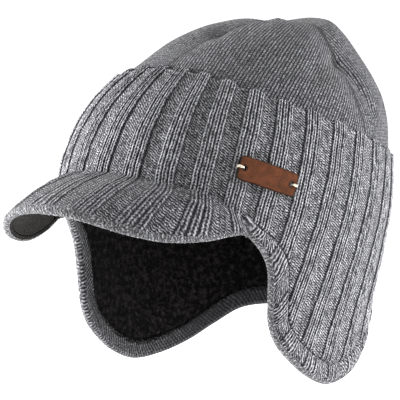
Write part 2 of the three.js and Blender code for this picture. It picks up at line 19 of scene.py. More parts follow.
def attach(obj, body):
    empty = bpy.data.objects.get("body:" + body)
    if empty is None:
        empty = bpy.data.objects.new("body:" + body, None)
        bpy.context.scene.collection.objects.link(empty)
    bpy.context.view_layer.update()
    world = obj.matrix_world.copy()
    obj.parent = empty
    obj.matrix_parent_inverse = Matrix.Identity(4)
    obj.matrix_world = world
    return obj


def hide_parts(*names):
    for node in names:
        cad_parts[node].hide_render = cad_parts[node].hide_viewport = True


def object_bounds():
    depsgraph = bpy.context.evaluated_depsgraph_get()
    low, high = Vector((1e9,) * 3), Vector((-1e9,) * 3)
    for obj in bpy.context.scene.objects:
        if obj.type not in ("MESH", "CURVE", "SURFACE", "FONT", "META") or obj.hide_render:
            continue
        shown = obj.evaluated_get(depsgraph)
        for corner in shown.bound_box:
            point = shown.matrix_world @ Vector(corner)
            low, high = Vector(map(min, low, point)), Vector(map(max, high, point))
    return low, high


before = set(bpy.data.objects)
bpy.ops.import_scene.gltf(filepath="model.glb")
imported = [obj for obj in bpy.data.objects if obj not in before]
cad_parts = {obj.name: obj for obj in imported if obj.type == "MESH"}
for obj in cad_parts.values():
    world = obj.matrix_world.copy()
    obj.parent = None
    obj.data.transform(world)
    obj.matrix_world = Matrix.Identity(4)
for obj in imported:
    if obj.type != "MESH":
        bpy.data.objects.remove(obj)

LOG = logging.getLogger("cap")
MM = 0.001
CAD_BOX = [[float(value) for value in corner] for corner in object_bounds()]

# Flecks of the melange yarn, in waves a metre, and where its middle tone lies between dark and light.
FLECK_WAVES = 1000
MIDDLE_TONE = 0.42

Curve = Callable[[np.ndarray], np.ndarray]
Colour = tuple[float, float, float]


class Slot(Enum):
    """Material slots of the record."""

    CROWN = "crown_jersey"
    BAND = "band_rib_knit"
    HEM = "hem_knit"
    UNDERSIDE = "underside_cloth"
    PILE = "black_pile"
    LEATHER = "brown_leather"
    THREAD = "label_thread"


def smooth_through(xs: np.ndarray, ys: np.ndarray) -> Curve:
    """Make a smooth curve through points that never overshoots between them.

    Args:
        xs: Places of the points, rising.
        ys: Value at each place.

    Returns:
        A function that gives the value at any places.
    """
    xs, ys = np.asarray(xs, float), np.asarray(ys, float)
    steps = np.diff(xs)
    slopes = np.diff(ys) / steps
    near = steps[:-1] + 2 * steps[1:]
    far = 2 * steps[:-1] + steps[1:]
    bends = slopes[:-1] * slopes[1:] > 0
    before = np.where(bends, slopes[:-1], 1.0)
    after = np.where(bends, slopes[1:], 1.0)
    inner = np.where(bends, (near + far) / (near / before + far / after), 0.0)
    tangents = np.concatenate([slopes[:1], inner, slopes[-1:]])

    def value(x: np.ndarray) -> np.ndarray:
        """Give the curve's value at each place."""
        at = np.clip(x, xs[0], xs[-1])
        i = np.clip(np.searchsorted(xs, at, side="right") - 1, 0, len(steps) - 1)
        t = (at - xs[i]) / steps[i]
        leaving = tangents[i] * steps[i] * t * (1 - t) ** 2
        arriving = tangents[i + 1] * steps[i] * t**2 * (1 - t)
        return ys[i] + (ys[i + 1] - ys[i]) * t * t * (3 - 2 * t) + leaving - arriving

    return value


def ease(x: np.ndarray, low: float, high: float) -> np.ndarray:
    """Rise smoothly from 0 at low to 1 at high."""
    t = np.clip((np.asarray(x, float) - low) / (high - low), 0, 1)
    return t * t * (3 - 2 * t)


def lerp(low: np.ndarray, high: np.ndarray, share: np.ndarray) -> np.ndarray:
    """Blend from low to high by a share."""
    return low + (high - low) * share


def sway(x: np.ndarray, y: np.ndarray, seed: int, waves: int = 6) -> np.ndarray:
    """Give a soft unevenness between about -1 and 1 that is the same on each run.

    Args:
        x: First coordinate, in waves.
        y: Second coordinate, in waves.
        seed: Number of the unevenness.
        waves: How many waves are added up.

    Returns:
        The unevenness at each place.
    """
    random = np.random.default_rng(seed)
    total = np.zeros(np.broadcast(x, y).shape)
    for _ in range(waves):
        turn, phase = random.uniform(0, 2 * math.pi, 2)
        rate = 2 * math.pi * random.uniform(0.5, 1.6)
        total = total + np.sin(rate * (x * math.cos(turn) + y * math.sin(turn)) + phase)
    return total / math.sqrt(2 * waves)


@dataclass(frozen=True)
class Section:
    """A section of the outer wall, in shares of the cap's main sizes."""

    radius: float
    rise: float
    lean: float


@dataclass(frozen=True)
class Fold:
    """A soft fold in the crown between two places, or with a negative depth a fuller place."""

    from_angle: float
    from_rise: float
    to_angle: float
    to_rise: float
    depth: float
    spread: float


WALL_SECTIONS = [
    Section(0.0, 1.0, 1.0),
    Section(0.19, 0.99, 0.95),
    Section(0.35, 0.955, 0.865),
    Section(0.525, 0.85, 0.67),
    Section(0.675, 0.71, 0.53),
    Section(0.8, 0.57, 0.385),
    Section(0.89, 0.432, 0.274),
    Section(0.95, 0.28, 0.162),
    Section(0.98, 0.132, 0.07),
    Section(1.0, 0.0, 0.014),
    Section(1.01, -0.155, -0.03),
    Section(0.985, -0.405, -0.116),
    Section(0.945, -0.645, -0.208),
    Section(0.925, -0.795, -0.255),
    Section(0.905, -0.98, -0.29),
    Section(0.89, -1.15, -0.31),
]

CROWN_FOLDS = [
    Fold(118, 0.93, 150, 0.93, -0.9, 1.6),
    Fold(80, 0.68, 103, 0.74, 0.5, 0.45),
    Fold(104, 0.73, 113, 0.4, 0.6, 0.45),
    Fold(-14, 0.96, 10, 0.9, 0.5, 0.5),
    Fold(-12, 0.84, 12, 0.78, 0.45, 0.5),
]


@dataclass
class WallForm:
    """The outer wall that every ply of the cap follows, from the apex down to the hem."""

    half_length: float = 105.0
    half_width: float = 89.0
    crown_height: float = 88.0
    crown_lean: float = 42.0
    flap_drop: float = 124.5
    seam_dip: float = 3.2
    seam_half_width: float = 11.0
    seam_fade: float = 26.0
    seam_angles: tuple[float, ...] = (0.0, 104.0, 180.0, -104.0)
    band_top_front: float = 59.0
    band_top_back: float = -5.0
    band_lap: float = 8.0
    rib_lean: float = 0.36
    slope_turn: float = 1.5
    slope_step: float = 0.04
    past_nape: float = 40.0

    def __post_init__(self) -> None:
        """Work out the curves of the wall and the girth of the brow."""
        index = np.arange(len(WALL_SECTIONS), dtype=float)
        radius = np.array([row.radius for row in WALL_SECTIONS])
        rise = np.array([row.rise for row in WALL_SECTIONS])
        lean = np.array([row.lean for row in WALL_SECTIONS])
        height = np.where(rise > 0, rise * self.crown_height, rise * self.flap_drop)
        self.radius_share = smooth_through(index, radius)
        self.lean_at = smooth_through(index, lean * self.crown_lean)
        self.height_at = smooth_through(index, height)
        self._places = np.linspace(0, index[-1], 6001)
        self._heights = self.height_at(self._places)
        angles = np.linspace(0, 180, 721)
        middle = np.radians((angles[:-1] + angles[1:]) / 2)
        rate = np.hypot(self.half_width * np.cos(middle), self.half_length * np.sin(middle))
        girths = np.concatenate([[0], np.cumsum(rate * math.pi / 720)])
        self.half_girth = float(girths[-1])
        self._angles = np.append(angles, 180 + self.past_nape)
        extra = math.radians(self.past_nape) * self.half_width
        self._girths = np.append(girths, self.half_girth + extra)

    def along_at(self, height: np.ndarray) -> np.ndarray:
        """Give the place along the wall, counted in sections, that lies at a height."""
        return np.interp(-np.asarray(height, float), -self._heights, self._places)

    def band_top(self, angle: np.ndarray) -> np.ndarray:
        """Give the height of the ribbed band's top edge at an angle."""
        middle = (self.band_top_front + self.band_top_back) / 2
        swing = (self.band_top_front - self.band_top_back) / 2
        return middle + swing * np.cos(np.radians(angle))

    def plain(self, angle: np.ndarray, along: np.ndarray) -> np.ndarray:
        """Give the wall's point without seams or folds."""
        share = self.radius_share(along)
        turn = np.radians(angle)
        return np.stack(
            [
                self.half_width * share * np.sin(turn),
                self.lean_at(along) - self.half_length * share * np.cos(turn),
                self.height_at(along) + 0 * turn,
            ],
            axis=-1,
        )

    def dip(self, angle: np.ndarray, point: np.ndarray) -> np.ndarray:
        """Give the depth of the crown's seams and folds at a point of the wall."""
        top = self.band_top(angle)
        fade = ease((point[..., 2] - top) / self.seam_fade, 0, 1)
        radius = np.hypot(point[..., 0], point[..., 1] - self.crown_lean)
        dip = np.zeros(radius.shape)
        for seam in self.seam_angles:
            turn = np.abs(np.mod(angle - seam + 180, 360) - 180)
            away = np.radians(turn) * np.minimum(radius, self.half_width)
            dip = np.maximum(dip, self.seam_dip * np.exp(-((away / self.seam_half_width) ** 2)))
        for fold in CROWN_FOLDS:
            start = self.plain(fold.from_angle, self.along_at(fold.from_rise * self.crown_height))
            end = self.plain(fold.to_angle, self.along_at(fold.to_rise * self.crown_height))
            line = end - start
            share = np.clip((point - start) @ line / (line @ line), 0, 1)
            nearest = start + share[..., None] * line
            gap = np.linalg.norm(point - nearest, axis=-1) / (fold.spread * self.seam_half_width)
            dip = dip + fold.depth * self.seam_dip * np.exp(-(gap**2))
        return dip * fade

    def surface(self, angle: np.ndarray, along: np.ndarray) -> np.ndarray:
        """Give the wall's point with the crown's seams and folds pressed in."""
        point = self.plain(angle, along)
        outward = point - np.array([0, self.crown_lean / 2, 0])
        outward = outward / np.linalg.norm(outward, axis=-1, keepdims=True)
        return point - outward * self.dip(angle, point)[..., None]

    def point(self, angle: np.ndarray, along: np.ndarray, proud: np.ndarray) -> np.ndarray:
        """Give the point that stands proud of the wall, or inside it when proud is negative."""
        angle, along = np.broadcast_arrays(np.asarray(angle, float), np.asarray(along, float))
        left = self.surface(angle + self.slope_turn, along)
        right = self.surface(angle - self.slope_turn, along)
        above = self.surface(angle, np.maximum(along - self.slope_step, 0))
        below = self.surface(angle, along + self.slope_step)
        normal = np.cross(below - above, left - right)
        normal = normal / np.maximum(np.linalg.norm(normal, axis=-1, keepdims=True), 1e-12)
        normal[along < self.slope_step] = (0, 0, 1)
        return self.surface(angle, along) + normal * np.asarray(proud, float)[..., None]

    def at(self, angle: np.ndarray, height: np.ndarray, proud: np.ndarray) -> np.ndarray:
        """Give the point at an angle and a height that stands proud of the wall."""
        return self.point(angle, self.along_at(height), proud)

    def girth_at(self, angle: np.ndarray) -> np.ndarray:
        """Give the girth of the brow from the front to an angle."""
        return np.sign(angle) * np.interp(np.abs(angle), self._angles, self._girths)

    def angle_at(self, girth: np.ndarray) -> np.ndarray:
        """Give the angle that lies at a girth of the brow."""
        return np.sign(girth) * np.interp(np.abs(girth), self._girths, self._angles)

    def lean_shift(self, height: np.ndarray) -> np.ndarray:
        """Give how far a rib has leant back at a height, as a share of the reach there."""
        along = self.along_at(height)
        shift = self.rib_lean * np.asarray(height, float) - self.lean_at(along)
        return shift / (self.half_length * self.radius_share(along))

    def leaning(self, brow_angle: np.ndarray, height: np.ndarray) -> np.ndarray:
        """Give the angle that a rib of the brow has at a height."""
        turn = np.sin(np.radians(brow_angle)) * self.lean_shift(height)
        return brow_angle + np.degrees(turn)

    def brow_angle(self, angle: np.ndarray, height: np.ndarray) -> np.ndarray:
        """Give the brow angle of the rib that passes an angle at a height."""
        shift = self.lean_shift(height)
        brow = np.asarray(angle, float)
        for _ in range(8):
            brow = angle - np.degrees(np.sin(np.radians(brow)) * shift)
        return brow

    def crossing(self, brow_angle: np.ndarray, edge: Curve) -> np.ndarray:
        """Give the height where a leaning rib, followed down, crosses an edge."""
        above = np.full(np.shape(brow_angle), self.crown_height)
        below = np.full(np.shape(brow_angle), -self.flap_drop)
        for _ in range(28):
            middle = (above + below) / 2
            over = middle > edge(np.abs(self.leaning(brow_angle, middle)))
            above, below = np.where(over, middle, above), np.where(over, below, middle)
        return (above + below) / 2


@dataclass
class RibPlan:
    """How the chunky knit repeats: a rib of chain columns, then a flat panel."""

    count: int = 29
    rib_share: float = 0.56
    chains: int = 3
    chain_places: tuple[float, ...] = (0.0, 0.13, 0.29, 0.5, 0.71, 0.87)
    panel_steps: int = 7
    rise: float = 1.1
    crowning: float = 0.2
    panel_sag: float = 0.35
    groove: float = 0.35
    groove_spread: float = 0.1
    arch_power: float = 2.6
    arch_flatness: float = 0.6

    def __post_init__(self) -> None:
        """Shape one chain from its groove to its middle."""
        self.chain_form = smooth_through([0, 0.13, 0.29, 0.5], [0.05, 0.72, 1.0, 0.74])

    def offsets(self) -> np.ndarray:
        """Give the places of one repeat's mesh columns, in shares of the repeat."""
        chain = np.arange(self.chains)[:, None] + np.array(self.chain_places)[None, :]
        rib = (chain.ravel() / self.chains - 0.5) * self.rib_share
        panel = np.arange(self.panel_steps) / self.panel_steps
        return np.concatenate([rib, self.rib_share / 2 + panel * (1 - self.rib_share)])

    def columns(self) -> np.ndarray:
        """Give the places of all mesh columns round the cap, in repeats from the front."""
        return (np.arange(self.count)[:, None] + self.offsets()[None, :]).ravel()

    def within(self, place: np.ndarray) -> np.ndarray:
        """Give where a place lies in its repeat, from -0.5 to 0.5, with the rib at 0."""
        return np.mod(place + 0.5, 1) - 0.5

    def rib_arch(self, place: np.ndarray) -> np.ndarray:
        """Give 1 over the middle of a rib and 0 past its edges, as a flat arch."""
        across = self.within(place) / (self.rib_share / 2)
        return np.clip(1 - np.abs(across) ** self.arch_power, 0, 1) ** self.arch_flatness

    def relief(self, place: np.ndarray) -> np.ndarray:
        """Give how far the knit stands out at a place, in millimetres."""
        inside = self.within(place)
        half = self.rib_share / 2
        across = inside / half
        chain = np.mod((across + 1) / 2 * self.chains, 1)
        arch = 1 - self.crowning * across**2
        rib = self.rise * arch * self.chain_form(np.minimum(chain, 1 - chain))
        panel = (np.abs(inside) - half) / (0.5 - half)
        flat = -self.panel_sag * np.sin(np.clip(panel, 0, 1) * math.pi / 2)
        edge = -self.groove * np.exp(-((np.abs(across) - 1) / self.groove_spread) ** 2)
        return np.where(np.abs(across) < 1 - 1e-9, rib, flat) + edge


@dataclass(frozen=True)
class HemMark:
    """A point of the hem's edge: its angle and its share of the flaps' drop."""

    angle: float
    drop: float


HEM_MARKS = [
    HemMark(55, 0.25),
    HemMark(61, 0.335),
    HemMark(64.5, 0.42),
    HemMark(66.3, 0.56),
    HemMark(67.8, 0.69),
    HemMark(71.8, 0.79),
    HemMark(79, 0.88),
    HemMark(87, 0.952),
    HemMark(97, 1.0),
    HemMark(109, 0.985),
    HemMark(121, 0.93),
    HemMark(132, 0.847),
    HemMark(142, 0.775),
    HemMark(154, 0.752),
    HemMark(167, 0.75),
    HemMark(180, 0.75),
]


@dataclass
class HemCourse:
    """The edge of the left flap and nape, from the temple to the middle of the nape."""

    wall: WallForm
    outer_width: float = 12.5
    inner_width: float = 10.0
    temple_share: float = 0.6
    widen_length: float = 34.0
    edge_gap: float = 0.9
    temple_angle: float = 55.0
    brow_spread: float = 0.86
    crease_front: float = 1.0
    crease_fall: float = 18.0
    crease_end_fall: float = 12.0
    direction_step: float = 1.5
    least_turn: float = 0.3

    def __post_init__(self) -> None:
        """Lay a centripetal curve through the marks and measure it."""
        marks = np.array(
            [(self.wall.girth_at(m.angle), -m.drop * self.wall.flap_drop) for m in HEM_MARKS]
        )
        ends = [2 * marks[0] - marks[1], 2 * marks[-1] - marks[-2]]
        knots = np.concatenate([ends[:1], marks, ends[1:]])
        gaps = np.sqrt(np.linalg.norm(np.diff(knots, axis=0), axis=1))
        t = np.linspace(0, 1, 200, endpoint=False)[:, None]
        runs = []
        for i in range(1, len(knots) - 2):
            p0, p1, p2, p3 = knots[i - 1 : i + 3]
            g0, g1, g2 = gaps[i - 1 : i + 2]
            leave = ((p1 - p0) / g0 - (p2 - p0) / (g0 + g1)) * g1 + (p2 - p1)
            arrive = ((p3 - p2) / g2 - (p3 - p1) / (g1 + g2)) * g1 + (p2 - p1)
            run = (2 * t**3 - 3 * t**2 + 1) * p1 + (t**3 - 2 * t**2 + t) * leave
            runs.append(run + (3 * t**2 - 2 * t**3) * p2 + (t**3 - t**2) * arrive)
        line = np.concatenate([*runs, marks[-1:]])
        lengths = np.linalg.norm(np.diff(line, axis=0), axis=1)
        self._line = line
        self._run = np.concatenate([[0], np.cumsum(lengths)])
        self.length = float(self._run[-1])

    def edge(self, run: np.ndarray) -> np.ndarray:
        """Give the girth and height of the edge at a length along it, straight before the start."""
        place = np.stack([np.interp(run, self._run, self._line[:, k]) for k in range(2)], axis=-1)
        first = self._line[12] - self._line[0]
        return place + np.minimum(run, 0)[..., None] * first / np.linalg.norm(first)

    def ahead(self, run: np.ndarray) -> np.ndarray:
        """Give the direction of the edge at a length along it."""
        after = self.edge(np.minimum(run + self.direction_step, self.length))
        before = self.edge(run - self.direction_step)
        line = after - before
        return line / np.linalg.norm(line, axis=-1, keepdims=True)

    def widening(self, run: np.ndarray) -> np.ndarray:
        """Give the share of its full width that the hem has along its run."""
        return lerp(self.temple_share, 1.0, ease(run, 0, self.widen_length))

    def inset(self, run: np.ndarray, inset: np.ndarray) -> tuple[np.ndarray, np.ndarray]:
        """Give the angle and height of a point that lies in from the edge."""
        edge, ahead = self.edge(run), self.ahead(run)
        girth = edge[..., 0] - ahead[..., 1] * inset
        return self.wall.angle_at(girth), edge[..., 1] + ahead[..., 0] * inset

    def crease(self, angle: np.ndarray) -> np.ndarray:
        """Give the height of the crease between band and peak at an angle."""
        share = angle / self.temple_angle
        return self.crease_front - self.crease_fall * share**2 - self.crease_end_fall * share**12

    def lower_edge(self, brow_lap: float, hem_width: float) -> Curve:
        """Make the lower edge of a ply: the brow in front, behind it a line inside the hem.

        Args:
            brow_lap: How far the ply hangs below the crease, in millimetres.
            hem_width: Width of the hem on this ply's side, in millimetres.

        Returns:
            A function from an angle to a height.
        """
        angles = np.linspace(0, 1, 6) * self.brow_spread * self.temple_angle
        heights = self.crease(angles) - brow_lap
        run = np.linspace(0, 1, 41) * self.length
        far_angles, far_heights = self.inset(run, hem_width * self.widening(run) + self.edge_gap)
        points = list(zip(angles, heights))
        for angle, height in zip(far_angles, far_heights):
            if angle > points[-1][0] + self.least_turn:
                points.append((float(angle), float(height)))
        return smooth_through([p[0] for p in points], [p[1] for p in points])


class MeshDraft:
    """A mesh under way: its points, its faces and the cloth's own coordinates at each corner."""

    def __init__(self) -> None:
        """Start with nothing."""
        self.points: list[np.ndarray] = []
        self.faces: list[np.ndarray] = []
        self.cloth: list[np.ndarray] = []
        self.looks: list[np.ndarray] = []
        self.count = 0

    def add_grid(
        self,
        points: np.ndarray,
        cloth: np.ndarray,
        around: bool,
        along: bool,
        looks: np.ndarray | None = None,
    ) -> np.ndarray:
        """Add a grid of points with quads between them.

        Args:
            points: Points by column and row, in millimetres. A side that closes on itself
                doesn't repeat its first line.
            cloth: Coordinates of the cloth by column and row, with the first line repeated
                at the end of a side that closes.
            around: Whether the last column joins the first.
            along: Whether the last row joins the first.
            looks: Number of the finish between each row and the next, or None for the first.
                The cloth then has one more axis in front, a layer for each finish.

        Returns:
            The number of each point by column and row, closing lines repeated.
        """
        columns, rows = points.shape[:2]
        index = self.count + np.arange(columns * rows).reshape(columns, rows)
        self.points.append(points.reshape(-1, 3))
        self.count += columns * rows
        if around:
            index = np.concatenate([index, index[:1]], axis=0)
        if along:
            index = np.concatenate([index, index[:, :1]], axis=1)
        corners = (slice(None, -1), slice(None, -1)), (slice(None, -1), slice(1, None))
        corners += (slice(1, None), slice(1, None)), (slice(1, None), slice(None, -1))
        faces = np.stack([index[c] for c in corners], axis=-1)
        if looks is None:
            looks = np.zeros(faces.shape[1], int)
            cloth = cloth[None]
        layers = np.stack([np.stack([layer[c] for c in corners], axis=-2) for layer in cloth])
        chosen = layers[looks, :, np.arange(len(looks))].swapaxes(0, 1)
        self.faces.append(faces.reshape(-1, 4))
        self.cloth.append(chosen.reshape(-1, 4, 3))
        self.looks.append(np.broadcast_to(looks, faces.shape[:2]).ravel())
        return index

    def cap(self, ring: np.ndarray, cloth: np.ndarray) -> None:
        """Close a ring of points with a fan round its middle.

        Args:
            ring: Numbers of the ring's points, in the order that faces outwards.
            cloth: Coordinates of the cloth at the ring's points.
        """
        points = np.concatenate(self.points)[ring]
        middle = self.count
        self.points.append(points.mean(axis=0)[None])
        self.count += 1
        after = np.roll(ring, -1)
        self.faces.append(np.stack([ring, after, np.full_like(ring, middle), np.full_like(ring, -1)], -1))
        centre = np.broadcast_to(cloth.mean(axis=0), cloth.shape)
        self.cloth.append(np.stack([cloth, np.roll(cloth, -1, axis=0), centre, centre], axis=-2))
        self.looks.append(np.zeros(len(ring), int))

    def build(self, name: str) -> bpy.types.Object:
        """Make the object, with the cloth's coordinates kept on its corners."""
        points = np.concatenate(self.points) * MM
        faces = np.concatenate(self.faces)
        cloth = np.concatenate(self.cloth)
        used = faces >= 0
        sizes = used.sum(axis=1)
        mesh = bpy.data.meshes.new(name)
        mesh.vertices.add(len(points))
        mesh.vertices.foreach_set("co", points.astype(np.float32).ravel())
        mesh.loops.add(int(sizes.sum()))
        mesh.loops.foreach_set("vertex_index", faces[used].astype(np.int32))
        mesh.polygons.add(len(faces))
        starts = np.concatenate([[0], np.cumsum(sizes)[:-1]])
        mesh.polygons.foreach_set("loop_start", starts.astype(np.int32))
        mesh.polygons.foreach_set("use_smooth", np.ones(len(faces), bool))
        mesh.polygons.foreach_set("material_index", np.concatenate(self.looks).astype(np.int32))
        mesh.update(calc_edges=True)
        mesh.validate()
        knit = mesh.attributes.new("knit", "FLOAT_VECTOR", "CORNER")
        knit.data.foreach_set("vector", cloth[used].astype(np.float32).ravel())
        piece = bpy.data.objects.new(name, mesh)
        bpy.context.scene.collection.objects.link(piece)
        return piece


def fit_piece(piece: bpy.types.Object, slot: Slot, node: str | None, *finishes: object) -> None:
    """Give a piece its finishes, ride it on the cap and let it stand for its node.

    Args:
        piece: The piece.
        slot: Its material slot in the record; not used.
        node: The solid that it stands for, if any.
        finishes: The finish of each of its looks.
    """
    looks = [polygon.material_index for polygon in piece.data.polygons]
    piece.data.materials.clear()
    for number, finish in enumerate(finishes):
        piece.data.materials.append(finish.material(f"{piece.name}_finish_{number + 1}"))
    piece.data.polygons.foreach_set("material_index", looks)
    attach(piece, "root")
    if node:
        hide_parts(node)
    area = sum(polygon.area for polygon in piece.data.polygons)
    triangles = sum(len(polygon.vertices) - 2 for polygon in piece.data.polygons)
    LOG.info("%s: %d triangles, %.4f m2 of skin", piece.name, triangles, area)


class Term:
    """A value in a material's node tree that adds, multiplies and bends like a number."""

    def __init__(self, weave: "Weave", socket: bpy.types.NodeSocket) -> None:
        """Keep the node tree and the socket that carries the value."""
        self.weave = weave
        self.socket = socket

    def _do(self, operation: str, *others: "Term | float") -> "Term":
        """Join this value with others in one Math node."""
        return self.weave.math(operation, self, *others)

    def __add__(self, other: "Term | float") -> "Term":
        """Add."""
        return self._do("ADD", other)

    def __sub__(self, other: "Term | float") -> "Term":
        """Subtract."""
        return self._do("SUBTRACT", other)

    def __mul__(self, other: "Term | float") -> "Term":
        """Multiply."""
        return self._do("MULTIPLY", other)

    def fraction(self) -> "Term":
        """Give what is left after the whole number."""
        return self._do("FRACT")

    def floor(self) -> "Term":
        """Give the whole number below."""
        return self._do("FLOOR")

    def size(self) -> "Term":
        """Give the value without its sign."""
        return self._do("ABSOLUTE")

    def wave(self) -> "Term":
        """Give a sine with one period for each whole number, from 0 to 1."""
        return (self * (2 * math.pi))._do("SINE") * 0.5 + 0.5

    def eased(self, low: float, high: float) -> "Term":
        """Rise smoothly from 0 at low to 1 at high, or fall where low is above high."""
        node = self.weave.node("ShaderNodeMapRange", interpolation_type="SMOOTHSTEP")
        self.weave.feed(node.inputs["Value"], self)
        first, last = (0.0, 1.0) if low < high else (1.0, 0.0)
        for name, value in (
            ("From Min", min(low, high)),
            ("From Max", max(low, high)),
            ("To Min", first),
            ("To Max", last),
        ):
            node.inputs[name].default_value = value
        return Term(self.weave, node.outputs["Result"])


class Weave:
    """Writes one material's node tree."""

    def __init__(self, name: str) -> None:
        """Start an empty material."""
        self.material = bpy.data.materials.new(name)
        self.material.use_nodes = True
        self.tree = self.material.node_tree
        self.tree.nodes.clear()
        self.output = self.node("ShaderNodeOutputMaterial")
        self.shader = self.node("ShaderNodeBsdfPrincipled")
        self.tree.links.new(self.shader.outputs["BSDF"], self.output.inputs["Surface"])

    def node(self, kind: str, **settings: object) -> bpy.types.Node:
        """Add a node and set its options."""
        node = self.tree.nodes.new(kind)
        for key, value in settings.items():
            setattr(node, key, value)
        return node

    def feed(self, socket: bpy.types.NodeSocket, value: "Term | float") -> None:
        """Link a value to a socket, or set a plain number on it."""
        if isinstance(value, Term):
            self.tree.links.new(value.socket, socket)
        else:
            socket.default_value = value

    def math(self, operation: str, *values: "Term | float") -> Term:
        """Add a Math node over the values."""
        node = self.node("ShaderNodeMath", operation=operation)
        for socket, value in zip(node.inputs, values):
            self.feed(socket, value)
        return Term(self, node.outputs[0])

    def knit(self) -> tuple[Term, Term, Term]:
        """Give the cloth's own three coordinates."""
        node = self.node("ShaderNodeAttribute", attribute_name="knit")
        split = self.node("ShaderNodeSeparateXYZ")
        self.tree.links.new(node.outputs["Vector"], split.inputs[0])
        return tuple(Term(self, split.outputs[axis]) for axis in ("X", "Y", "Z"))

    def noise(self, scale: float, detail: float = 2.0, stretch: tuple = (1, 1, 1)) -> Term:
        """Give noise over the object's own space, with scale in waves per metre."""
        place = self.node("ShaderNodeTexCoord")
        mapping = self.node("ShaderNodeMapping")
        mapping.inputs["Scale"].default_value = stretch
        noise = self.node("ShaderNodeTexNoise")
        noise.inputs["Scale"].default_value = scale
        noise.inputs["Detail"].default_value = detail
        self.tree.links.new(place.outputs["Object"], mapping.inputs["Vector"])
        self.tree.links.new(mapping.outputs["Vector"], noise.inputs["Vector"])
        return Term(self, noise.outputs["Fac"])

    def fleck(self) -> Term:
        """Give the fine flecks of melange yarn, from dark below 0 to light above."""
        return self.noise(FLECK_WAVES, 2.0) - 0.5

    def melange(self, tone: Term, dark: Colour, middle: Colour, light: Colour) -> None:
        """Colour the surface as melange yarn, from the painted shade of its gaps and its dark flecks to its
        light strands.
        """
        self.colours(tone, [(0.0, dark), (MIDDLE_TONE, middle), (1.0, light)])

    def colours(self, share: Term, stops: list[tuple[float, tuple[float, float, float]]]) -> None:
        """Colour the surface by a value through a ramp of stops."""
        ramp = self.node("ShaderNodeValToRGB")
        elements = ramp.color_ramp.elements
        while len(elements) < len(stops):
            elements.new(0.5)
        for element, (place, colour) in zip(elements, stops):
            element.position = place
            element.color = (*colour, 1)
        self.feed(ramp.inputs["Fac"], share)
        self.tree.links.new(ramp.outputs["Color"], self.shader.inputs["Base Color"])

    def bump(self, height: Term, depth: float, strength: float = 1.0) -> None:
        """Raise the surface by a height from 0 to 1, with the depth in millimetres."""
        node = self.node("ShaderNodeBump")
        node.inputs["Strength"].default_value = strength
        node.inputs["Distance"].default_value = depth * MM
        self.feed(node.inputs["Height"], height)
        self.tree.links.new(node.outputs["Normal"], self.shader.inputs["Normal"])

    def cloth(self, roughness: float, sheen: float) -> None:
        """Set the plain gloss of a matt cloth."""
        self.shader.inputs["Roughness"].default_value = roughness
        self.shader.inputs["Specular IOR Level"].default_value = 0.06
        self.shader.inputs["Sheen Weight"].default_value = sheen
        self.shader.inputs["Sheen Roughness"].default_value = 0.5


@dataclass(frozen=True)
class RibKnitFinish:
    """Grey melange yarn in chain columns and slanted purl bars."""

    pitch: float = 21.0
    rib_share: float = 0.56
    chains: int = 3
    stitch: float = 1.8
    bar: float = 1.45
    bar_slant: float = 0.75
    zigzag: float = 0.3
    wale: float = 3.1
    chain_share: float = 0.7
    purl_share: float = 0.62
    wander: float = 0.22
    fleck_tone: float = 0.95
    strand_tone: float = 0.4
    relief_shade_tone: float = 0.05
    least_tone: float = 0.13
    dark: Colour = (0.003, 0.003, 0.004)
    middle: Colour = (0.044, 0.044, 0.048)
    light: Colour = (0.42, 0.42, 0.445)
    depth: float = 0.9

    def material(self, name: str) -> bpy.types.Material:
        """Make the material from the cloth's repeat and course coordinates and the relief level that paints
        light and shade.
        """
        weave = Weave(name)
        place, course, relief = weave.knit()
        drift = weave.noise(230, 2.0)
        jitter = weave.noise(700, 1.0)
        within = (place + 0.5).fraction() - 0.5
        across = within * (2 / self.rib_share) + (drift - 0.5) * self.wander
        on_rib = across.size().eased(1.03, 0.96)
        chain = (((across + 1.0) * (self.chains / 2)).fraction() - 0.5).size()
        beat = (course * (1 / self.stitch)).wave()
        legs = (chain - (beat * 0.12 + 0.17)).size().eased(0.19, 0.04)
        twist = (course * (1 / self.stitch) + chain * 1.5).wave()
        eyes = chain.eased(0.1, 0.02) * beat.eased(0.35, 0.9)
        body = chain.eased(0.47, 0.37)
        loops = body * (legs * (twist * 0.3 + 0.5) + 0.2) - eyes * 0.3
        columns = within * (self.pitch / self.wale)
        breaks = (columns.fraction() - 0.5).size().eased(0.5, 0.36)
        zigzag = (columns.fraction() - 0.5).size() * (self.wale * self.zigzag / self.bar)
        slant = course * (1 / self.bar) - columns * (self.wale * self.bar_slant / self.bar) + zigzag
        bars = (slant + columns.floor() * 0.13 + drift * 0.8 + jitter).wave().eased(0.1, 0.9)
        purl = bars * (breaks * 0.4 + 0.6)
        fleck = weave.fleck()
        strand = weave.noise(480, 1.0, (1, 1, 0.4)) - 0.5
        yarn = strand * 1.1 + 1.0
        chains = loops * on_rib
        panels = purl * (on_rib * -1.0 + 1.0)
        height = chains * yarn + panels * (yarn * 0.5 + 0.5)
        # Painted shade: low stitch heights darken the gaps between chain loops and purl bars.
        weight = (chains * self.chain_share + panels * self.purl_share) * yarn
        mottle = fleck * self.fleck_tone + strand * self.strand_tone
        # Painted light and shade: the relief level lightens rib tops and the band's top lip and darkens
        # grooves and panels; fleck and strand are the yarn's own mottle.
        tone = weight + mottle + relief * self.relief_shade_tone + self.least_tone
        weave.melange(tone, self.dark, self.middle, self.light)
        weave.bump(height + fleck * 0.3, self.depth)
        weave.cloth(0.95, 0.15)
        return weave.material


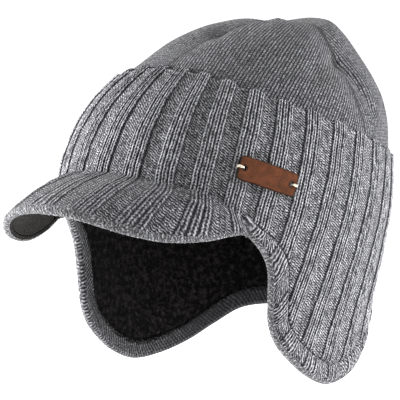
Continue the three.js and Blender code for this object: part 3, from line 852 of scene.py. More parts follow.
@dataclass(frozen=True)
class JerseyFinish:
    """Fine melange jersey: narrow upright wales of small V stitches."""

    wale: float = 2.2
    stitch: float = 2.0
    dark: Colour = (0.003, 0.003, 0.004)
    middle: Colour = (0.04, 0.04, 0.044)
    light: Colour = (0.36, 0.36, 0.38)
    knit_shade_tone: float = 0.6
    fleck_tone: float = 1.35
    patch_tone: float = 0.5
    least_tone: float = 0.07
    painted_shade_tone: float = 0.5
    depth: float = 0.8

    def material(self, name: str) -> bpy.types.Material:
        """Make the material from the cloth's wale and course coordinates and its painted shade coordinate."""
        weave = Weave(name)
        across, course, shade = weave.knit()
        drift = weave.noise(260, 2.0)
        wale = ((across * (1 / self.wale) + drift * 0.5).fraction() - 0.5).size()
        inside = wale.eased(0.47, 0.18)
        barbs = (course * (1 / self.stitch) + wale * 1.4).wave()
        height = inside * (barbs * 0.32 + 0.6)
        fleck = weave.fleck()
        patch = weave.noise(420, 2.0) - 0.5
        mottle = fleck * self.fleck_tone + patch * self.patch_tone
        # Painted shade: low stitch height darkens the gaps between the wales; fleck and patch are the yarn's
        # own mottle.
        tone = height * self.knit_shade_tone + mottle + self.least_tone
        # Painted shade: the shade coordinate darkens the jersey along the crown's seams and, on the hem's
        # facing, towards the nape.
        shaded = tone * (shade * -self.painted_shade_tone + 1.0)
        weave.melange(shaded, self.dark, self.middle, self.light)
        weave.bump(height + fleck * 0.4, self.depth)
        weave.cloth(0.95, 0.15)
        return weave.material


@dataclass(frozen=True)
class CordEdgeFinish:
    """Edge of the knit, rolled like a cord of slanted stitches."""

    pitch: float = 2.6
    slant: float = 0.8
    dark: Colour = (0.006, 0.006, 0.007)
    middle: Colour = (0.08, 0.08, 0.085)
    light: Colour = (0.52, 0.52, 0.54)
    knit_shade_tone: float = 0.36
    fleck_tone: float = 1.3
    least_tone: float = 0.24
    depth: float = 0.5

    def material(self, name: str) -> bpy.types.Material:
        """Make the material from the lengths along and round the edge."""
        weave = Weave(name)
        run, around, _ = weave.knit()
        lean = run + around * self.slant
        bend = weave.noise(300, 1.0)
        strands = (lean * (1 / self.pitch) + bend * 2.6).wave()
        plies = ((run - around * 0.4) * (2 / self.pitch) + bend).wave()
        height = strands * (plies * 0.45 + 0.55)
        fleck = weave.fleck()
        # Painted shade: low stitch height darkens the hollows between the slanted stitches; the flecks are
        # the yarn's own.
        tone = height * self.knit_shade_tone + fleck * self.fleck_tone + self.least_tone
        weave.melange(tone, self.dark, self.middle, self.light)
        weave.bump(height + fleck * 0.3, self.depth)
        weave.cloth(0.95, 0.15)
        return weave.material


@dataclass(frozen=True)
class UndersideFinish:
    """Dark brown-grey cloth with fine ribs."""

    rib: float = 1.9
    dark: Colour = (0.0012, 0.001, 0.0009)
    light: Colour = (0.017, 0.0153, 0.0132)
    depth: float = 0.6

    def material(self, name: str) -> bpy.types.Material:
        """Make the material from the cloth's rib and course coordinates."""
        weave = Weave(name)
        across, course, _ = weave.knit()
        ribs = (across * (1 / self.rib)).wave()
        slubs = ((course + across * 0.4) * (1 / 1.3)).wave()
        height = ribs * 0.7 + slubs * 0.3
        fleck = weave.noise(1200, 2.0)
        weave.colours(height * 0.6 + (fleck - 0.5) * 0.7 + 0.15, [(0.1, self.dark), (0.95, self.light)])
        weave.bump(height, self.depth)
        weave.cloth(0.9, 0.04)
        return weave.material


@dataclass(frozen=True)
class PileFinish:
    """Short dense black pile."""

    dark: Colour = (0.0012, 0.0011, 0.0011)
    light: Colour = (0.021, 0.0185, 0.018)
    depth: float = 2.0

    def material(self, name: str) -> bpy.types.Material:
        """Make the material from tufts of two sizes."""
        weave = Weave(name)
        tufts = weave.noise(330, 3.0)
        hairs = weave.noise(1300, 2.0, (1, 1, 0.5))
        height = tufts * 0.65 + hairs * 0.35
        weave.colours(height, [(0.47, self.dark), (0.7, self.light)])
        weave.bump(height, self.depth)
        weave.cloth(1.0, 0.1)
        weave.shader.inputs["Sheen Tint"].default_value = (0.2, 0.2, 0.2, 1)
        return weave.material


@dataclass(frozen=True)
class LeatherFinish:
    """Plain brown leather, darker and smoother along its cut edges."""

    edge: Colour = (0.014, 0.004, 0.001)
    dark: Colour = (0.045, 0.012, 0.003)
    light: Colour = (0.125, 0.035, 0.009)
    depth: float = 0.16

    def material(self, name: str) -> bpy.types.Material:
        """Make the material from grain, mottling and the nearness of an edge."""
        weave = Weave(name)
        edge, _, _ = weave.knit()
        grain = weave.node("ShaderNodeTexVoronoi", feature="DISTANCE_TO_EDGE")
        grain.inputs["Scale"].default_value = 1500
        pebble = Term(weave, grain.outputs["Distance"]).eased(0.0, 0.16)
        mottle = weave.noise(240, 4.0)
        fibre = weave.noise(1400, 2.0)
        tone = mottle * 0.75 + fibre * 0.35 + pebble * 0.12 - edge * 0.55 - 0.08
        weave.colours(tone, [(0.0, self.edge), (0.32, self.dark), (0.8, self.light)])
        weave.bump(pebble * 0.6 + mottle * 0.4, self.depth)
        weave.shader.inputs["Roughness"].default_value = 0.7
        weave.shader.inputs["Specular IOR Level"].default_value = 0.12
        return weave.material


@dataclass(frozen=True)
class ThreadFinish:
    """Twisted sewing thread."""

    dark: Colour = (0.3, 0.25, 0.18)
    light: Colour = (0.8, 0.74, 0.62)
    twist: float = 0.7
    depth: float = 0.15

    def material(self, name: str) -> bpy.types.Material:
        """Make the material from the thread's twist."""
        weave = Weave(name)
        around, run, _ = weave.knit()
        ply = (around + run * (1 / self.twist)).wave()
        fleck = weave.noise(2500, 1.0)
        weave.colours(ply * 0.6 + fleck * 0.4, [(0.1, self.dark), (0.8, self.light)])
        weave.bump(ply, self.depth)
        weave.cloth(0.8, 0.1)
        return weave.material


@dataclass
class CrownShell:
    """The puffy top of fine jersey, in four lobes between pressed-in seams."""

    wall: WallForm
    thickness: float = 2.2
    columns: int = 560
    outer_rows: int = 130
    inner_rows: int = 16
    front_lean: float = 0.25
    back_lean: float = 0.2
    # Width of the painted seam shade, and the sections where it fades out.
    seam_shade_width: float = 1.4
    seam_shade_top: float = 5.5
    seam_shade_foot: float = 7.5
    pole_share: float = 0.004
    puff: float = 0.45
    puff_turn: float = 46.0
    puff_run: float = 2.6
    edge_round: float = 0.5

    def build(self) -> bpy.types.Object:
        """Build the crown as one closed wall with a pole at the apex."""
        wall = self.wall
        angle = np.arange(self.columns) * (360 / self.columns)
        foot = wall.along_at(wall.band_top(angle) - wall.band_lap)
        outer = np.linspace(self.pole_share, 1, self.outer_rows)
        inner = np.linspace(1, self.pole_share, self.inner_rows)
        shares = np.concatenate([outer, [1 + self.pole_share] * 2, inner])
        edge = [-self.edge_round, -self.thickness + self.edge_round]
        proud = np.concatenate([np.zeros(self.outer_rows), edge])
        proud = np.concatenate([proud, np.full(self.inner_rows, -self.thickness)])
        along = foot[:, None] * shares[None, :]
        angles = np.broadcast_to(angle[:, None], along.shape)
        outside = np.concatenate([np.ones(self.outer_rows), np.zeros(2 + self.inner_rows)])
        uneven = sway(angles / self.puff_turn, along / self.puff_run, 11)
        lumps = self.puff * uneven * outside[None, :]
        points = wall.point(angles, along, proud[None, :] + lumps)
        cloth = self.coordinates(points, angles, along)
        draft = MeshDraft()
        index = draft.add_grid(points, cloth, around=True, along=False)
        top = index[:-1, 0]
        draft.cap(top[::-1].copy(), cloth[:-1, 0][::-1])
        under = index[:-1, -1]
        draft.cap(under.copy(), cloth[:-1, -1])
        return draft.build("crown_jersey_shell")

    def coordinates(self, points: np.ndarray, angles: np.ndarray, along: np.ndarray) -> np.ndarray:
        """Give the wale and course coordinates of the crown's knit, and its painted seam shade.

        The wales of each lobe run beside its middle line and end at its seams.

        Args:
            points: Points of the crown.
            angles: Angle of each point.
            along: Place of each point along the wall, in sections.

        Returns:
            Coordinates by column and row, with the closing column repeated.
        """
        angles = np.concatenate([angles, angles[:1] + 360], axis=0)
        along = np.concatenate([along, along[:1]], axis=0)
        points = np.concatenate([points, points[:1]], axis=0)
        steps = np.linalg.norm(np.diff(points, axis=1), axis=-1)
        run = np.concatenate([np.zeros((len(points), 1)), np.cumsum(steps, axis=1)], axis=1)
        radius = self.wall.radius_share(along) * (self.wall.half_length + self.wall.half_width) / 2
        seams = np.sort(np.mod(self.wall.seam_angles, 360))
        ends = np.append(seams, seams[0] + 360)
        lobe = np.clip(np.searchsorted(seams, angles - 1e-6, side="right") - 1, 0, len(seams) - 1)
        middle = (ends[lobe] + ends[lobe + 1]) / 2
        nearest = np.minimum(np.abs(angles - ends[lobe]), np.abs(ends[lobe + 1] - angles))
        lean = np.where(np.abs(middle - 180) > 90, self.front_lean, self.back_lean)
        lean = lean * np.sign(180 - middle)
        across = np.radians(angles - middle) * radius + lean * run
        # Painted shade: the jersey darkens along the creases of the seams over the upper crown, fading out
        # towards the band.
        fade = ease(along, self.seam_shade_foot, self.seam_shade_top)
        shade = np.exp(-((np.radians(nearest) * radius / self.seam_shade_width) ** 2)) * fade
        return np.stack([across, run, shade], axis=-1)


@dataclass
class RibBand:
    """The ribbed outer ply, from the crown's edge over the brow and down the flaps."""

    wall: WallForm
    hem: HemCourse
    plan: RibPlan
    gap: float = 0.6
    thickness: float = 1.5
    brow_lap: float = 6.0
    overrun: float = 1.7
    foot_lap: float = 0.5
    rows: int = 102
    inner_rows: int = 8
    top_steps: tuple[float, ...] = (0.0, 0.3, 0.7, 1.2, 1.8)
    foot_steps: tuple[float, ...] = (1.0, 0.5, 0.15, 0.0)
    edge_roll: float = 1.0
    edge_depth: float = 1.3
    lip_rise: float = 0.45
    lip_place: float = 1.1
    lip_spread: float = 0.7
    fold_run: float = 1.6
    fold_share: float = 0.6
    course_stretch: float = 1.05
    wobble: float = 0.18
    bend: float = 0.012

    def build(self) -> bpy.types.Object:
        """Build the band as one closed wall, wound round its top and bottom edges."""
        wall, plan = self.wall, self.plan
        place = plan.columns()
        turns = np.mod(place / plan.count + 0.5, 1) - 0.5
        brow = wall.angle_at(turns * 2 * wall.half_girth)
        top = wall.crossing(brow, wall.band_top) + plan.rib_arch(place) * self.overrun
        bottom = wall.crossing(brow, self.hem.lower_edge(self.brow_lap, self.hem.outer_width))
        length = (top - bottom + self.foot_lap)[:, None]
        column = np.ones_like(length)
        first, last = self.top_steps[-1] + 0.8, self.foot_steps[0] + 0.6
        middle = lerp(first, length - last, np.linspace(0, 1, self.rows)[None, :])
        down = np.concatenate(
            [column * np.array([self.top_steps]), middle, length - np.array([self.foot_steps])], axis=1
        )
        height = top[:, None] - down
        inner = lerp(0.6, length - 0.4, np.linspace(1, 0, self.inner_rows)[None, :])
        heights = np.concatenate([height, height[:, -1:], top[:, None] - inner, top[:, None]], axis=1)
        relief = plan.relief(place)[:, None]
        to_edge = np.minimum(down, length - down)
        roll = -self.edge_roll * np.clip(1 - to_edge / self.edge_depth, 0, 1) ** 2
        lip = self.lip_rise * np.exp(-(((down - self.lip_place) / self.lip_spread) ** 2))
        wobble = self.wobble * sway(place[:, None] * 0.9, height / 30, 5)
        rise = relief * (1 - np.exp(-((down / self.fold_run) ** 2)) * self.fold_share)
        flat = column * (self.gap + 0.35 * self.thickness)
        proud = np.concatenate(
            [
                self.gap + self.thickness + rise + wobble + roll + lip,
                flat,
                column * np.full((1, self.inner_rows), self.gap),
                flat,
            ],
            axis=1,
        )
        bend = self.bend * sway(place[:, None] / 2.5, heights / 26, 7) * 360 / plan.count
        angles = wall.leaning(brow[:, None] + bend, heights)
        points = wall.at(angles, heights, proud)
        # The third cloth coordinate only sets tone: this relief level, higher on rib tops and the top lip,
        # paints light and shade.
        level = np.zeros(heights.shape)
        level[:, : height.shape[1]] = relief / plan.rise + lip
        draft = MeshDraft()
        draft.add_grid(points, self.coordinates(place, heights, level), around=True, along=True)
        return draft.build("rib_band_knit")

    def coordinates(self, place: np.ndarray, heights: np.ndarray, level: np.ndarray) -> np.ndarray:
        """Give the repeat and course coordinates and the relief level that paints light and shade, with the
        closing lines repeated.
        """
        place = np.append(place, place[0] + self.plan.count)
        heights = np.concatenate([heights, heights[:1]], axis=0)
        level = np.concatenate([level, level[:1]], axis=0)
        course = -self.course_stretch * heights
        cloth = np.stack([np.broadcast_to(place[:, None], heights.shape), course, level], axis=-1)
        return np.concatenate([cloth, cloth[:, :1]], axis=1)


@dataclass
class PeakForm:
    """The knitted peak: where it is sewn on, its rolled rim and its recessed underside."""

    wall: WallForm
    hem: HemCourse
    plan: RibPlan
    reach: float = 91.0
    end_reach: float = 1.0
    tip_drop: float = 20.5
    end_drop: float = 4.5
    side_sag: float = 13.0
    twist: float = 8.0
    thickness: float = 4.8
    end_thickness: float = 3.4
    bulge: float = 2.0
    lip: float = 2.6
    lip_max_share: float = 0.35
    recess: float = 1.8
    end_recess: float = 0.3
    seat_margin: float = 1.5
    margin_max_share: float = 0.1
    seat_proud: float = 3.9
    rim_evenness: float = 0.58
    rim_corner: float = 0.7
    rim_climb: float = 0.65
    slope_spread: float = 0.02

    def rim(self, spread: np.ndarray) -> np.ndarray:
        """Give the rim's point for a share of its spread, from -1 at the right temple to 1."""
        angle = self.hem.temple_angle
        temple = self.wall.at(angle, self.hem.crease(angle) - self.end_drop, self.seat_proud)
        turn = math.pi / 2 * lerp(spread**3, spread, self.rim_evenness)
        ahead, aside = np.cos(turn), np.sin(turn)
        tip = self.hem.crease_front - self.tip_drop
        climb = np.maximum(1 - ahead, 0) ** self.rim_climb
        sag = self.side_sag * np.sin(2 * turn) ** 2 - self.twist * aside * ahead
        return np.stack(
            [
                temple[0] * np.sign(aside) * np.abs(aside) ** self.rim_corner,
                temple[1] - self.end_reach - self.reach * ahead**2,
                tip + (temple[2] - tip) * climb - sag,
            ],
            axis=-1,
        )

    def frame(self, spread: np.ndarray) -> dict[str, np.ndarray]:
        """Give the seat, directions, reach, lip, margin and thickness at each spread."""
        angle = spread * self.hem.temple_angle
        fullness = 1 - np.abs(spread) ** 3
        thickness = lerp(self.end_thickness, self.thickness, fullness)
        seat = self.wall.at(angle, self.hem.crease(angle) - thickness, self.seat_proud + 0 * angle)
        along = self.rim(spread) - seat
        before = np.maximum(spread - self.slope_spread, -1)
        after = np.minimum(spread + self.slope_spread, 1)
        across = self.rim(after) - self.rim(before)
        for side, sign in ((after, 1), (before, -1)):
            turn = side * self.hem.temple_angle
            across = across + sign * self.wall.at(turn, self.hem.crease(turn), 0 * turn)
        length = np.linalg.norm(along, axis=-1)
        ahead = along / length[..., None]
        up = np.cross(ahead, across)
        up = up / np.linalg.norm(up, axis=-1, keepdims=True)
        return {
            "angle": angle,
            "fullness": fullness,
            "thickness": thickness,
            "seat": seat,
            "ahead": ahead,
            "up": up,
            "reach": length - thickness / 2,
            "lip": np.minimum(self.lip, self.lip_max_share * length),
            "margin": np.minimum(self.seat_margin, self.margin_max_share * length),
        }

    @staticmethod
    def place(spot: dict[str, np.ndarray], distance: np.ndarray, rise: np.ndarray) -> np.ndarray:
        """Give the points at a distance from the seat and a rise above it."""
        out = spot["ahead"][:, None, :] * distance[..., None]
        return spot["seat"][:, None, :] + out + spot["up"][:, None, :] * rise[..., None]


@dataclass
class PeakKnit:
    """The visible peak: ribs that run on from the band, over the crease, to a rolled rim."""

    form: PeakForm
    rows: int = 96
    roll_rows: int = 14
    rim_rows: int = 4
    ceiling_rows: int = 8
    root_lift: float = 2.4
    root_run: float = 4.5
    root_proud: float = 1.2
    rib_fade: float = 10.0
    rim_rib_share: float = 0.25
    rib_share: float = 0.48
    cord_pitch: float = 2.6
    cord_rise: float = 0.2
    cord_turn: float = 200.0
    end_fade: float = 0.12
    foot_proud: float = 2.2
    corner_proud: float = 2.4
    corner_drop: float = 0.3
    root_relief: float = 0.7
    unevenness: float = 0.25
    roll_course: float = 3.6
    under_course: float = 118.0
    last_station: float = 0.985

    def build(self) -> bpy.types.Object:
        """Build the peak as one closed sweep from the left temple to the right."""
        form, plan = self.form, self.form.plan
        place, spread = self.stations()
        spot = form.frame(spread)
        reach, thick = spot["reach"][:, None], spot["thickness"][:, None]
        column = np.ones_like(reach)
        rim_line = form.rim(spread)
        steps = np.linalg.norm(np.diff(rim_line, axis=0), axis=1)
        rim_run = np.concatenate([[0], np.cumsum(steps)])[:, None]
        full = ease(1 - np.abs(spread), 0.0, self.end_fade)[:, None]
        top = self.top(place, spread, spot)
        turns = np.linspace(-90, 90, self.roll_rows, endpoint=False)[None, :]
        strand = rim_run / self.cord_pitch + turns / self.cord_turn
        cord = self.cord_rise * np.cos(2 * math.pi * strand) * full
        swell = thick / 2 + cord
        out = reach + swell * np.cos(np.radians(turns))
        rim = form.place(spot, out, thick / 2 + swell * np.sin(np.radians(turns)))
        under = self.under(spread, spot)
        crease = form.hem.crease(spot["angle"])
        foot = form.wall.at(spot["angle"], crease - thick[:, 0], self.foot_proud + 0 * crease)[:, None]
        points = np.concatenate([under, rim, top, foot], axis=1)
        lengths = np.linalg.norm(np.diff(top[:, ::-1], axis=1), axis=-1)
        arc = np.concatenate([np.zeros_like(column), np.cumsum(lengths, axis=1)], axis=1)[:, ::-1]
        edge_arc = arc[:, :1] + (90 - turns) / 90 * self.roll_course
        under_arc = self.under_course * column * np.ones((1, under.shape[1]))
        course = np.concatenate([under_arc, edge_arc, arc, 0 * column], axis=1)
        # The third cloth coordinate only sets tone: the ribs' relief level paints light on rib tops and shade
        # in grooves and panels.
        relief = plan.relief(place)[:, None] / plan.rise
        level = np.concatenate(
            [0 * column * np.ones((1, under.shape[1] + turns.shape[1])), relief + 0 * arc, 0 * column], axis=1
        )
        ribs = np.stack([place[:, None] + 0 * course, course, level], axis=-1)
        edge = np.stack([rim_run + 0 * course, course, 0 * course], axis=-1)
        layers = np.stack([ribs, edge, edge])
        layers = np.concatenate([layers, layers[:, :, :1]], axis=2)
        looks = np.zeros(points.shape[1], int)
        under_rows = under.shape[1]
        looks[:under_rows] = 2
        looks[under_rows : under_rows + self.roll_rows + self.rim_rows] = 1
        draft = MeshDraft()
        index = draft.add_grid(points, layers, around=False, along=True, looks=looks)
        draft.cap(index[0, :-1].copy(), ribs[0])
        draft.cap(index[-1, :-1][::-1].copy(), ribs[-1][::-1])
        return draft.build("peak_knit")

    def top(self, place: np.ndarray, spread: np.ndarray, spot: dict[str, np.ndarray]) -> np.ndarray:
        """Give the rows of the ribbed top, from the rim to the crease with the band.

        Args:
            place: Repeat coordinate of each station.
            spread: Spread of each station.
            spot: The peak's frame at the stations.

        Returns:
            Points by station and row.
        """
        form, wall = self.form, self.form.wall
        relief = form.plan.relief(place)
        share = np.linspace(1, 0, self.rows)[None, :]
        distance = share * spot["reach"][:, None]
        fade = ease((spot["reach"][:, None] - distance) / self.rib_fade, 0.1, 1)
        full = ease(1 - np.abs(spread), 0.0, self.end_fade)[:, None]
        arch = form.bulge * spot["fullness"][:, None] * np.sin(math.pi * share)
        ribs = relief[:, None] * lerp(self.rim_rib_share, self.rib_share, fade)
        run = wall.girth_at(spot["angle"])[:, None]
        uneven = self.unevenness * sway(run / 24, distance / 22, 23)
        top = form.place(spot, distance, spot["thickness"][:, None] + arch + (ribs + uneven) * full)
        crease = form.hem.crease(spot["angle"])
        ridge = relief * self.root_relief
        root = wall.at(spot["angle"], crease + self.root_lift, self.root_proud + ridge)
        corner = wall.at(spot["angle"], crease - self.corner_drop, self.corner_proud + ridge)
        bend = np.clip(1 - distance / self.root_run, 0, 1)[..., None]
        flow = (1 - bend) ** 2 * top + 2 * bend * (1 - bend) * corner[:, None] + bend**2 * root[:, None]
        return np.where(bend > 0, flow, top)

    def under(self, spread: np.ndarray, spot: dict[str, np.ndarray]) -> np.ndarray:
        """Give the rows of the recess and the lip under the peak, from the seat to the rim."""
        form = self.form
        margin, reach = spot["margin"][:, None], spot["reach"][:, None]
        deep = lerp(form.end_recess, form.recess, ease(1 - np.abs(spread), 0.04, 0.09))[:, None]
        lip_in = reach - spot["lip"][:, None]
        ceiling = lerp(margin, lip_in, np.linspace(0, 1, self.ceiling_rows)[None, :])
        lip = lerp(lip_in, reach, np.array([[0.0, 0.34, 0.67]]))
        distance = np.concatenate([margin, ceiling, lip], axis=1)
        lip_rise = np.array([[0.0, -0.2, -0.12]]) + 0 * margin
        rise = np.concatenate([0 * margin, deep + 0 * ceiling, lip_rise], axis=1)
        return form.place(spot, distance, rise)

    def stations(self) -> tuple[np.ndarray, np.ndarray]:
        """Give the repeat coordinate and the spread of each station, from left to right."""
        form = self.form
        place = form.plan.columns()
        place = np.where(place > form.plan.count / 2, place - form.plan.count, place)
        angle = form.wall.angle_at(place / form.plan.count * 2 * form.wall.half_girth)
        spread = angle / form.hem.temple_angle
        inside = np.abs(spread) < self.last_station
        place, spread = place[inside], spread[inside]
        end = form.wall.girth_at(form.hem.temple_angle) / (2 * form.wall.half_girth) * form.plan.count
        place = np.concatenate([place, [end, -end]])
        spread = np.concatenate([spread, [1.0, -1.0]])
        order = np.argsort(-spread)
        return place[order], spread[order]


@dataclass
class PeakUnderside:
    """The dark ribbed cloth under the peak."""

    form: PeakForm
    spread: float = 0.88
    wall_thickness: float = 1.2
    gap: float = 0.6
    edge_gap: float = 0.5
    columns: int = 220
    rows: int = 70
    sag: float = 0.5

    def build(self) -> bpy.types.Object:
        """Build the cloth as a thin closed sheet inside the peak's recess."""
        form = self.form
        spread = np.linspace(self.spread, -self.spread, self.columns)
        spot = form.frame(spread)
        share = np.linspace(0, 1, self.rows)[None, :]
        start = spot["margin"] + self.edge_gap
        end = spot["reach"] - spot["lip"] - self.edge_gap
        distance = lerp(start[:, None], end[:, None], share)
        run = form.wall.girth_at(spot["angle"])[:, None]
        top = form.recess - self.gap
        hang = self.sag * np.sin(math.pi * share) * (1 + 0.5 * sway(run / 30, distance / 30, 31))
        low = form.place(spot, distance, top - self.wall_thickness - hang)
        high = form.place(spot, distance, top + 0 * hang)
        points = np.concatenate([low, high[:, ::-1]], axis=1)[::-1]
        across = np.concatenate([run + 0 * distance, run + 0 * distance], axis=1)
        course = np.concatenate([distance, distance[:, ::-1]], axis=1)
        cloth = np.stack([across, course, 0 * course], axis=-1)[::-1]
        cloth = np.concatenate([cloth, cloth[:, :1]], axis=1)
        draft = MeshDraft()
        index = draft.add_grid(points, cloth, around=False, along=True)
        draft.cap(index[0, :-1].copy(), cloth[0, :-1])
        draft.cap(index[-1, :-1][::-1].copy(), cloth[-1, :-1][::-1])
        return draft.build("peak_underside_cloth")


@dataclass
class FlapHem:
    """The turned hem of both flaps and the nape, with ribs that fan over its edge."""

    wall: WallForm
    hem: HemCourse
    plan: RibPlan
    proud: float = 2.6
    lining: float = 3.0
    gap: float = 0.6
    station_step: float = 0.8
    face_steps: int = 20
    edge_steps: int = 9
    back_steps: int = 13
    flange: float = 2.0
    lead: float = 9.0
    tuck_length: float = 2.0
    front_lean: float = 52.0
    low_lean: float = 100.0
    most_slant: float = 1.3
    course_share: float = 0.62
    wale_slant: float = 0.5
    least_rate: float = 0.72
    relief_share: float = 0.75
    bow: float = 2.2
    roll_width: float = 2.9
    roll_steps: int = 2
    crease_depth: float = 0.8
    cord_rise: float = 0.1
    cord_pitch: float = 2.6
    wale: float = 2.3
    lead_proud: float = 0.6
    nape_shade: float = 0.9
    lobe_pitch: float = 6.3
    lobe_rise: float = 1.1
    seam_step: float = 0.35
    seam_proud: float = 0.35
    swell: float = 0.6
    crease_spread: float = 0.9
    cord_slant: float = 0.8
    back_ridge: float = 0.22
    rim_rise: float = 0.3
    rim_share: float = 0.09
    tuck_proud: float = 0.1
    face_painted_light: float = 0.2

    def build(self) -> bpy.types.Object:
        """Build the hem as one closed sweep from the left temple round to the right."""
        hem = self.hem
        run = np.linspace(-self.lead, hem.length, int(hem.length / self.station_step) + 1)
        left = self.side(run, 1)
        right = self.side(run[-2::-1], -1)
        points = np.concatenate([left[0], right[0]])
        layers = np.concatenate([left[1], right[1]], axis=1)
        layers = np.concatenate([layers, layers[:, :, :1]], axis=2)
        looks = np.zeros(points.shape[1], int)
        roll = self.face_steps - self.roll_steps
        turn = self.face_steps + self.edge_steps // 2
        looks[roll:turn] = 1
        looks[turn:] = 2
        draft = MeshDraft()
        index = draft.add_grid(points, layers, around=False, along=True, looks=looks)
        draft.cap(index[0, :-1].copy(), layers[0, 0, :-1])
        draft.cap(index[-1, :-1][::-1].copy(), layers[0, -1, :-1][::-1])
        LOG.info("hem edge: %.0f mm on each side", hem.length)
        return draft.build("flap_hem_knit")

    def repeat_at(self, run: np.ndarray) -> np.ndarray:
        """Give the repeat coordinate of the knit at a length along the hem."""
        hem = self.hem
        fine = np.linspace(0, hem.length, 1200)
        angle, height = hem.inset(fine, hem.outer_width * hem.widening(fine) + hem.edge_gap)
        brow = self.wall.brow_angle(angle, height)
        place = self.wall.girth_at(brow) / (2 * self.wall.half_girth) * self.plan.count
        pitch = 2 * self.wall.half_girth / self.plan.count
        rate = np.maximum(np.gradient(place, fine), self.least_rate / pitch)
        total = np.concatenate([[0], np.cumsum((rate[1:] + rate[:-1]) / 2 * np.diff(fine))])
        return np.interp(run, fine, total + place[-1] - total[-1])

    def slant(self, run: np.ndarray) -> np.ndarray:
        """Give how far along the edge a rib shifts for each millimetre that it goes in."""
        lean = np.radians(lerp(self.front_lean, self.low_lean, ease(run / self.hem.length, 0.26, 0.48)))
        ahead = self.hem.ahead(run[:, 0])
        along_x, along_y = ahead[:, :1], ahead[:, 1:]
        inward = -along_y * np.sin(lean) - along_x * np.cos(lean)
        onward = along_x * np.sin(lean) - along_y * np.cos(lean)
        return np.clip(inward / onward, -self.most_slant, self.most_slant)

    def side(self, run: np.ndarray, side: int) -> tuple[np.ndarray, np.ndarray]:
        """Give the sections of one side and the cloth's coordinates on them.

        Args:
            run: Lengths along the hem of the stations.
            side: 1 on the wearer's left, -1 on the right.

        Returns:
            Points by station and place round the section, and coordinates with one layer
            for the ribbed face, one for the rolled edge and one for the facing.
        """
        hem = self.hem
        inside = -self.lining - self.gap / 2
        widening = hem.widening(run)[:, None]
        outer, inner = hem.outer_width * widening, hem.inner_width * widening
        run = run[:, None]
        lobes = np.abs(np.sin(math.pi * run / self.lobe_pitch)) + 0.4 * sway(run / 9, 0 * run, 61)
        inner = inner + self.lobe_rise * np.clip(lobes - 0.3, -0.4, 0.7)
        half, middle = (self.proud - inside) / 2, (self.proud + inside) / 2
        seam = outer + np.array([[self.flange, hem.edge_gap, self.seam_step]])
        across = np.linspace(0, 1, self.face_steps - seam.shape[1])[None, :]
        face_in = np.concatenate([seam, lerp(outer, self.bow, across)], axis=1)
        edge = np.radians(np.linspace(90, -90, self.edge_steps + 2)[1:-1])[None, :]
        edge_in = self.bow * (1 - np.cos(edge)) + 0 * outer
        back = np.linspace(0, 1, self.back_steps)[None, :]
        back_in = lerp(self.bow, inner, back)
        tuck_in = np.concatenate([inner, outer + self.flange], axis=1)
        insets = np.concatenate([face_in, edge_in, back_in, tuck_in], axis=1)
        slant = self.slant(run)
        face_place = self.repeat_at(run - slant * (outer - face_in))
        within = ease(outer - face_in, -0.6, 1.6)
        relief = self.plan.relief(face_place) * self.relief_share * within
        over_face = np.clip((outer - face_in) / (outer - self.roll_width), 0, 1)
        swell = self.swell * np.sin(math.pi * over_face)
        from_crease = (face_in - self.roll_width) / self.crease_spread
        crease = self.crease_depth * np.exp(-(from_crease**2))
        near_edge = ease(face_in, self.roll_width + 0.4, self.roll_width - 0.6)
        around = np.concatenate([-face_in, -edge_in * np.sign(edge), back_in, tuck_in], axis=1)
        cord = self.cord_rise * np.cos(2 * math.pi * (run + around * self.cord_slant) / self.cord_pitch)
        rise = lerp(self.seam_proud, self.proud, ease(outer - face_in, -hem.edge_gap - 0.1, 0.9))
        tuck = ease(run, -self.lead, self.tuck_length - self.lead)
        face_count, edge_end = self.face_steps, self.face_steps + self.edge_steps
        knit = relief * (1 - near_edge) + swell * within - crease
        face_proud = rise + knit + cord[:, :face_count] * near_edge
        edge_proud = middle + (half + cord[:, face_count:edge_end]) * np.sin(edge)
        angle, height = hem.inset(run + 0 * insets, insets)
        wales = run + self.wale_slant * insets
        ridge = np.cos(2 * math.pi * wales[:, edge_end : edge_end + self.back_steps] / self.wale)
        ribs = self.back_ridge * ridge * np.sin(math.pi * np.clip(back, 0.08, 0.92))
        rim = self.rim_rise * np.exp(-(((1 - back) / self.rim_share) ** 2))
        back_proud = inside - ribs - rim
        tuck_proud = np.full((len(run), tuck_in.shape[1]), self.tuck_proud)
        prouds = np.concatenate([face_proud, edge_proud, back_proud, tuck_proud], axis=1)
        prouds = lerp(np.minimum(prouds, self.lead_proud), prouds, tuck)
        points = self.wall.at(side * angle, height, prouds)
        blank = 0 * insets
        place = np.concatenate([face_place, face_place[:, -1:] + blank[:, face_count:]], axis=1)
        # The third cloth coordinate only sets tone: the relief level, raised over the ribbed face, paints
        # light and shade.
        level = np.concatenate([relief / self.plan.rise + self.face_painted_light, blank[:, face_count:]], axis=1)
        # Painted shade: the facing darkens towards the nape, where the cap shades it.
        shade = self.nape_shade * ease(run / hem.length, 0.35, 0.75) + blank
        course = around * self.course_share * np.sqrt(1 + slant**2)
        ribbed = np.stack([side * place, course, level], axis=-1)
        rolled = np.stack([run + blank, around, blank], axis=-1)
        facing = np.stack([wales, insets, shade], axis=-1)
        return points, np.stack([ribbed, rolled, facing])


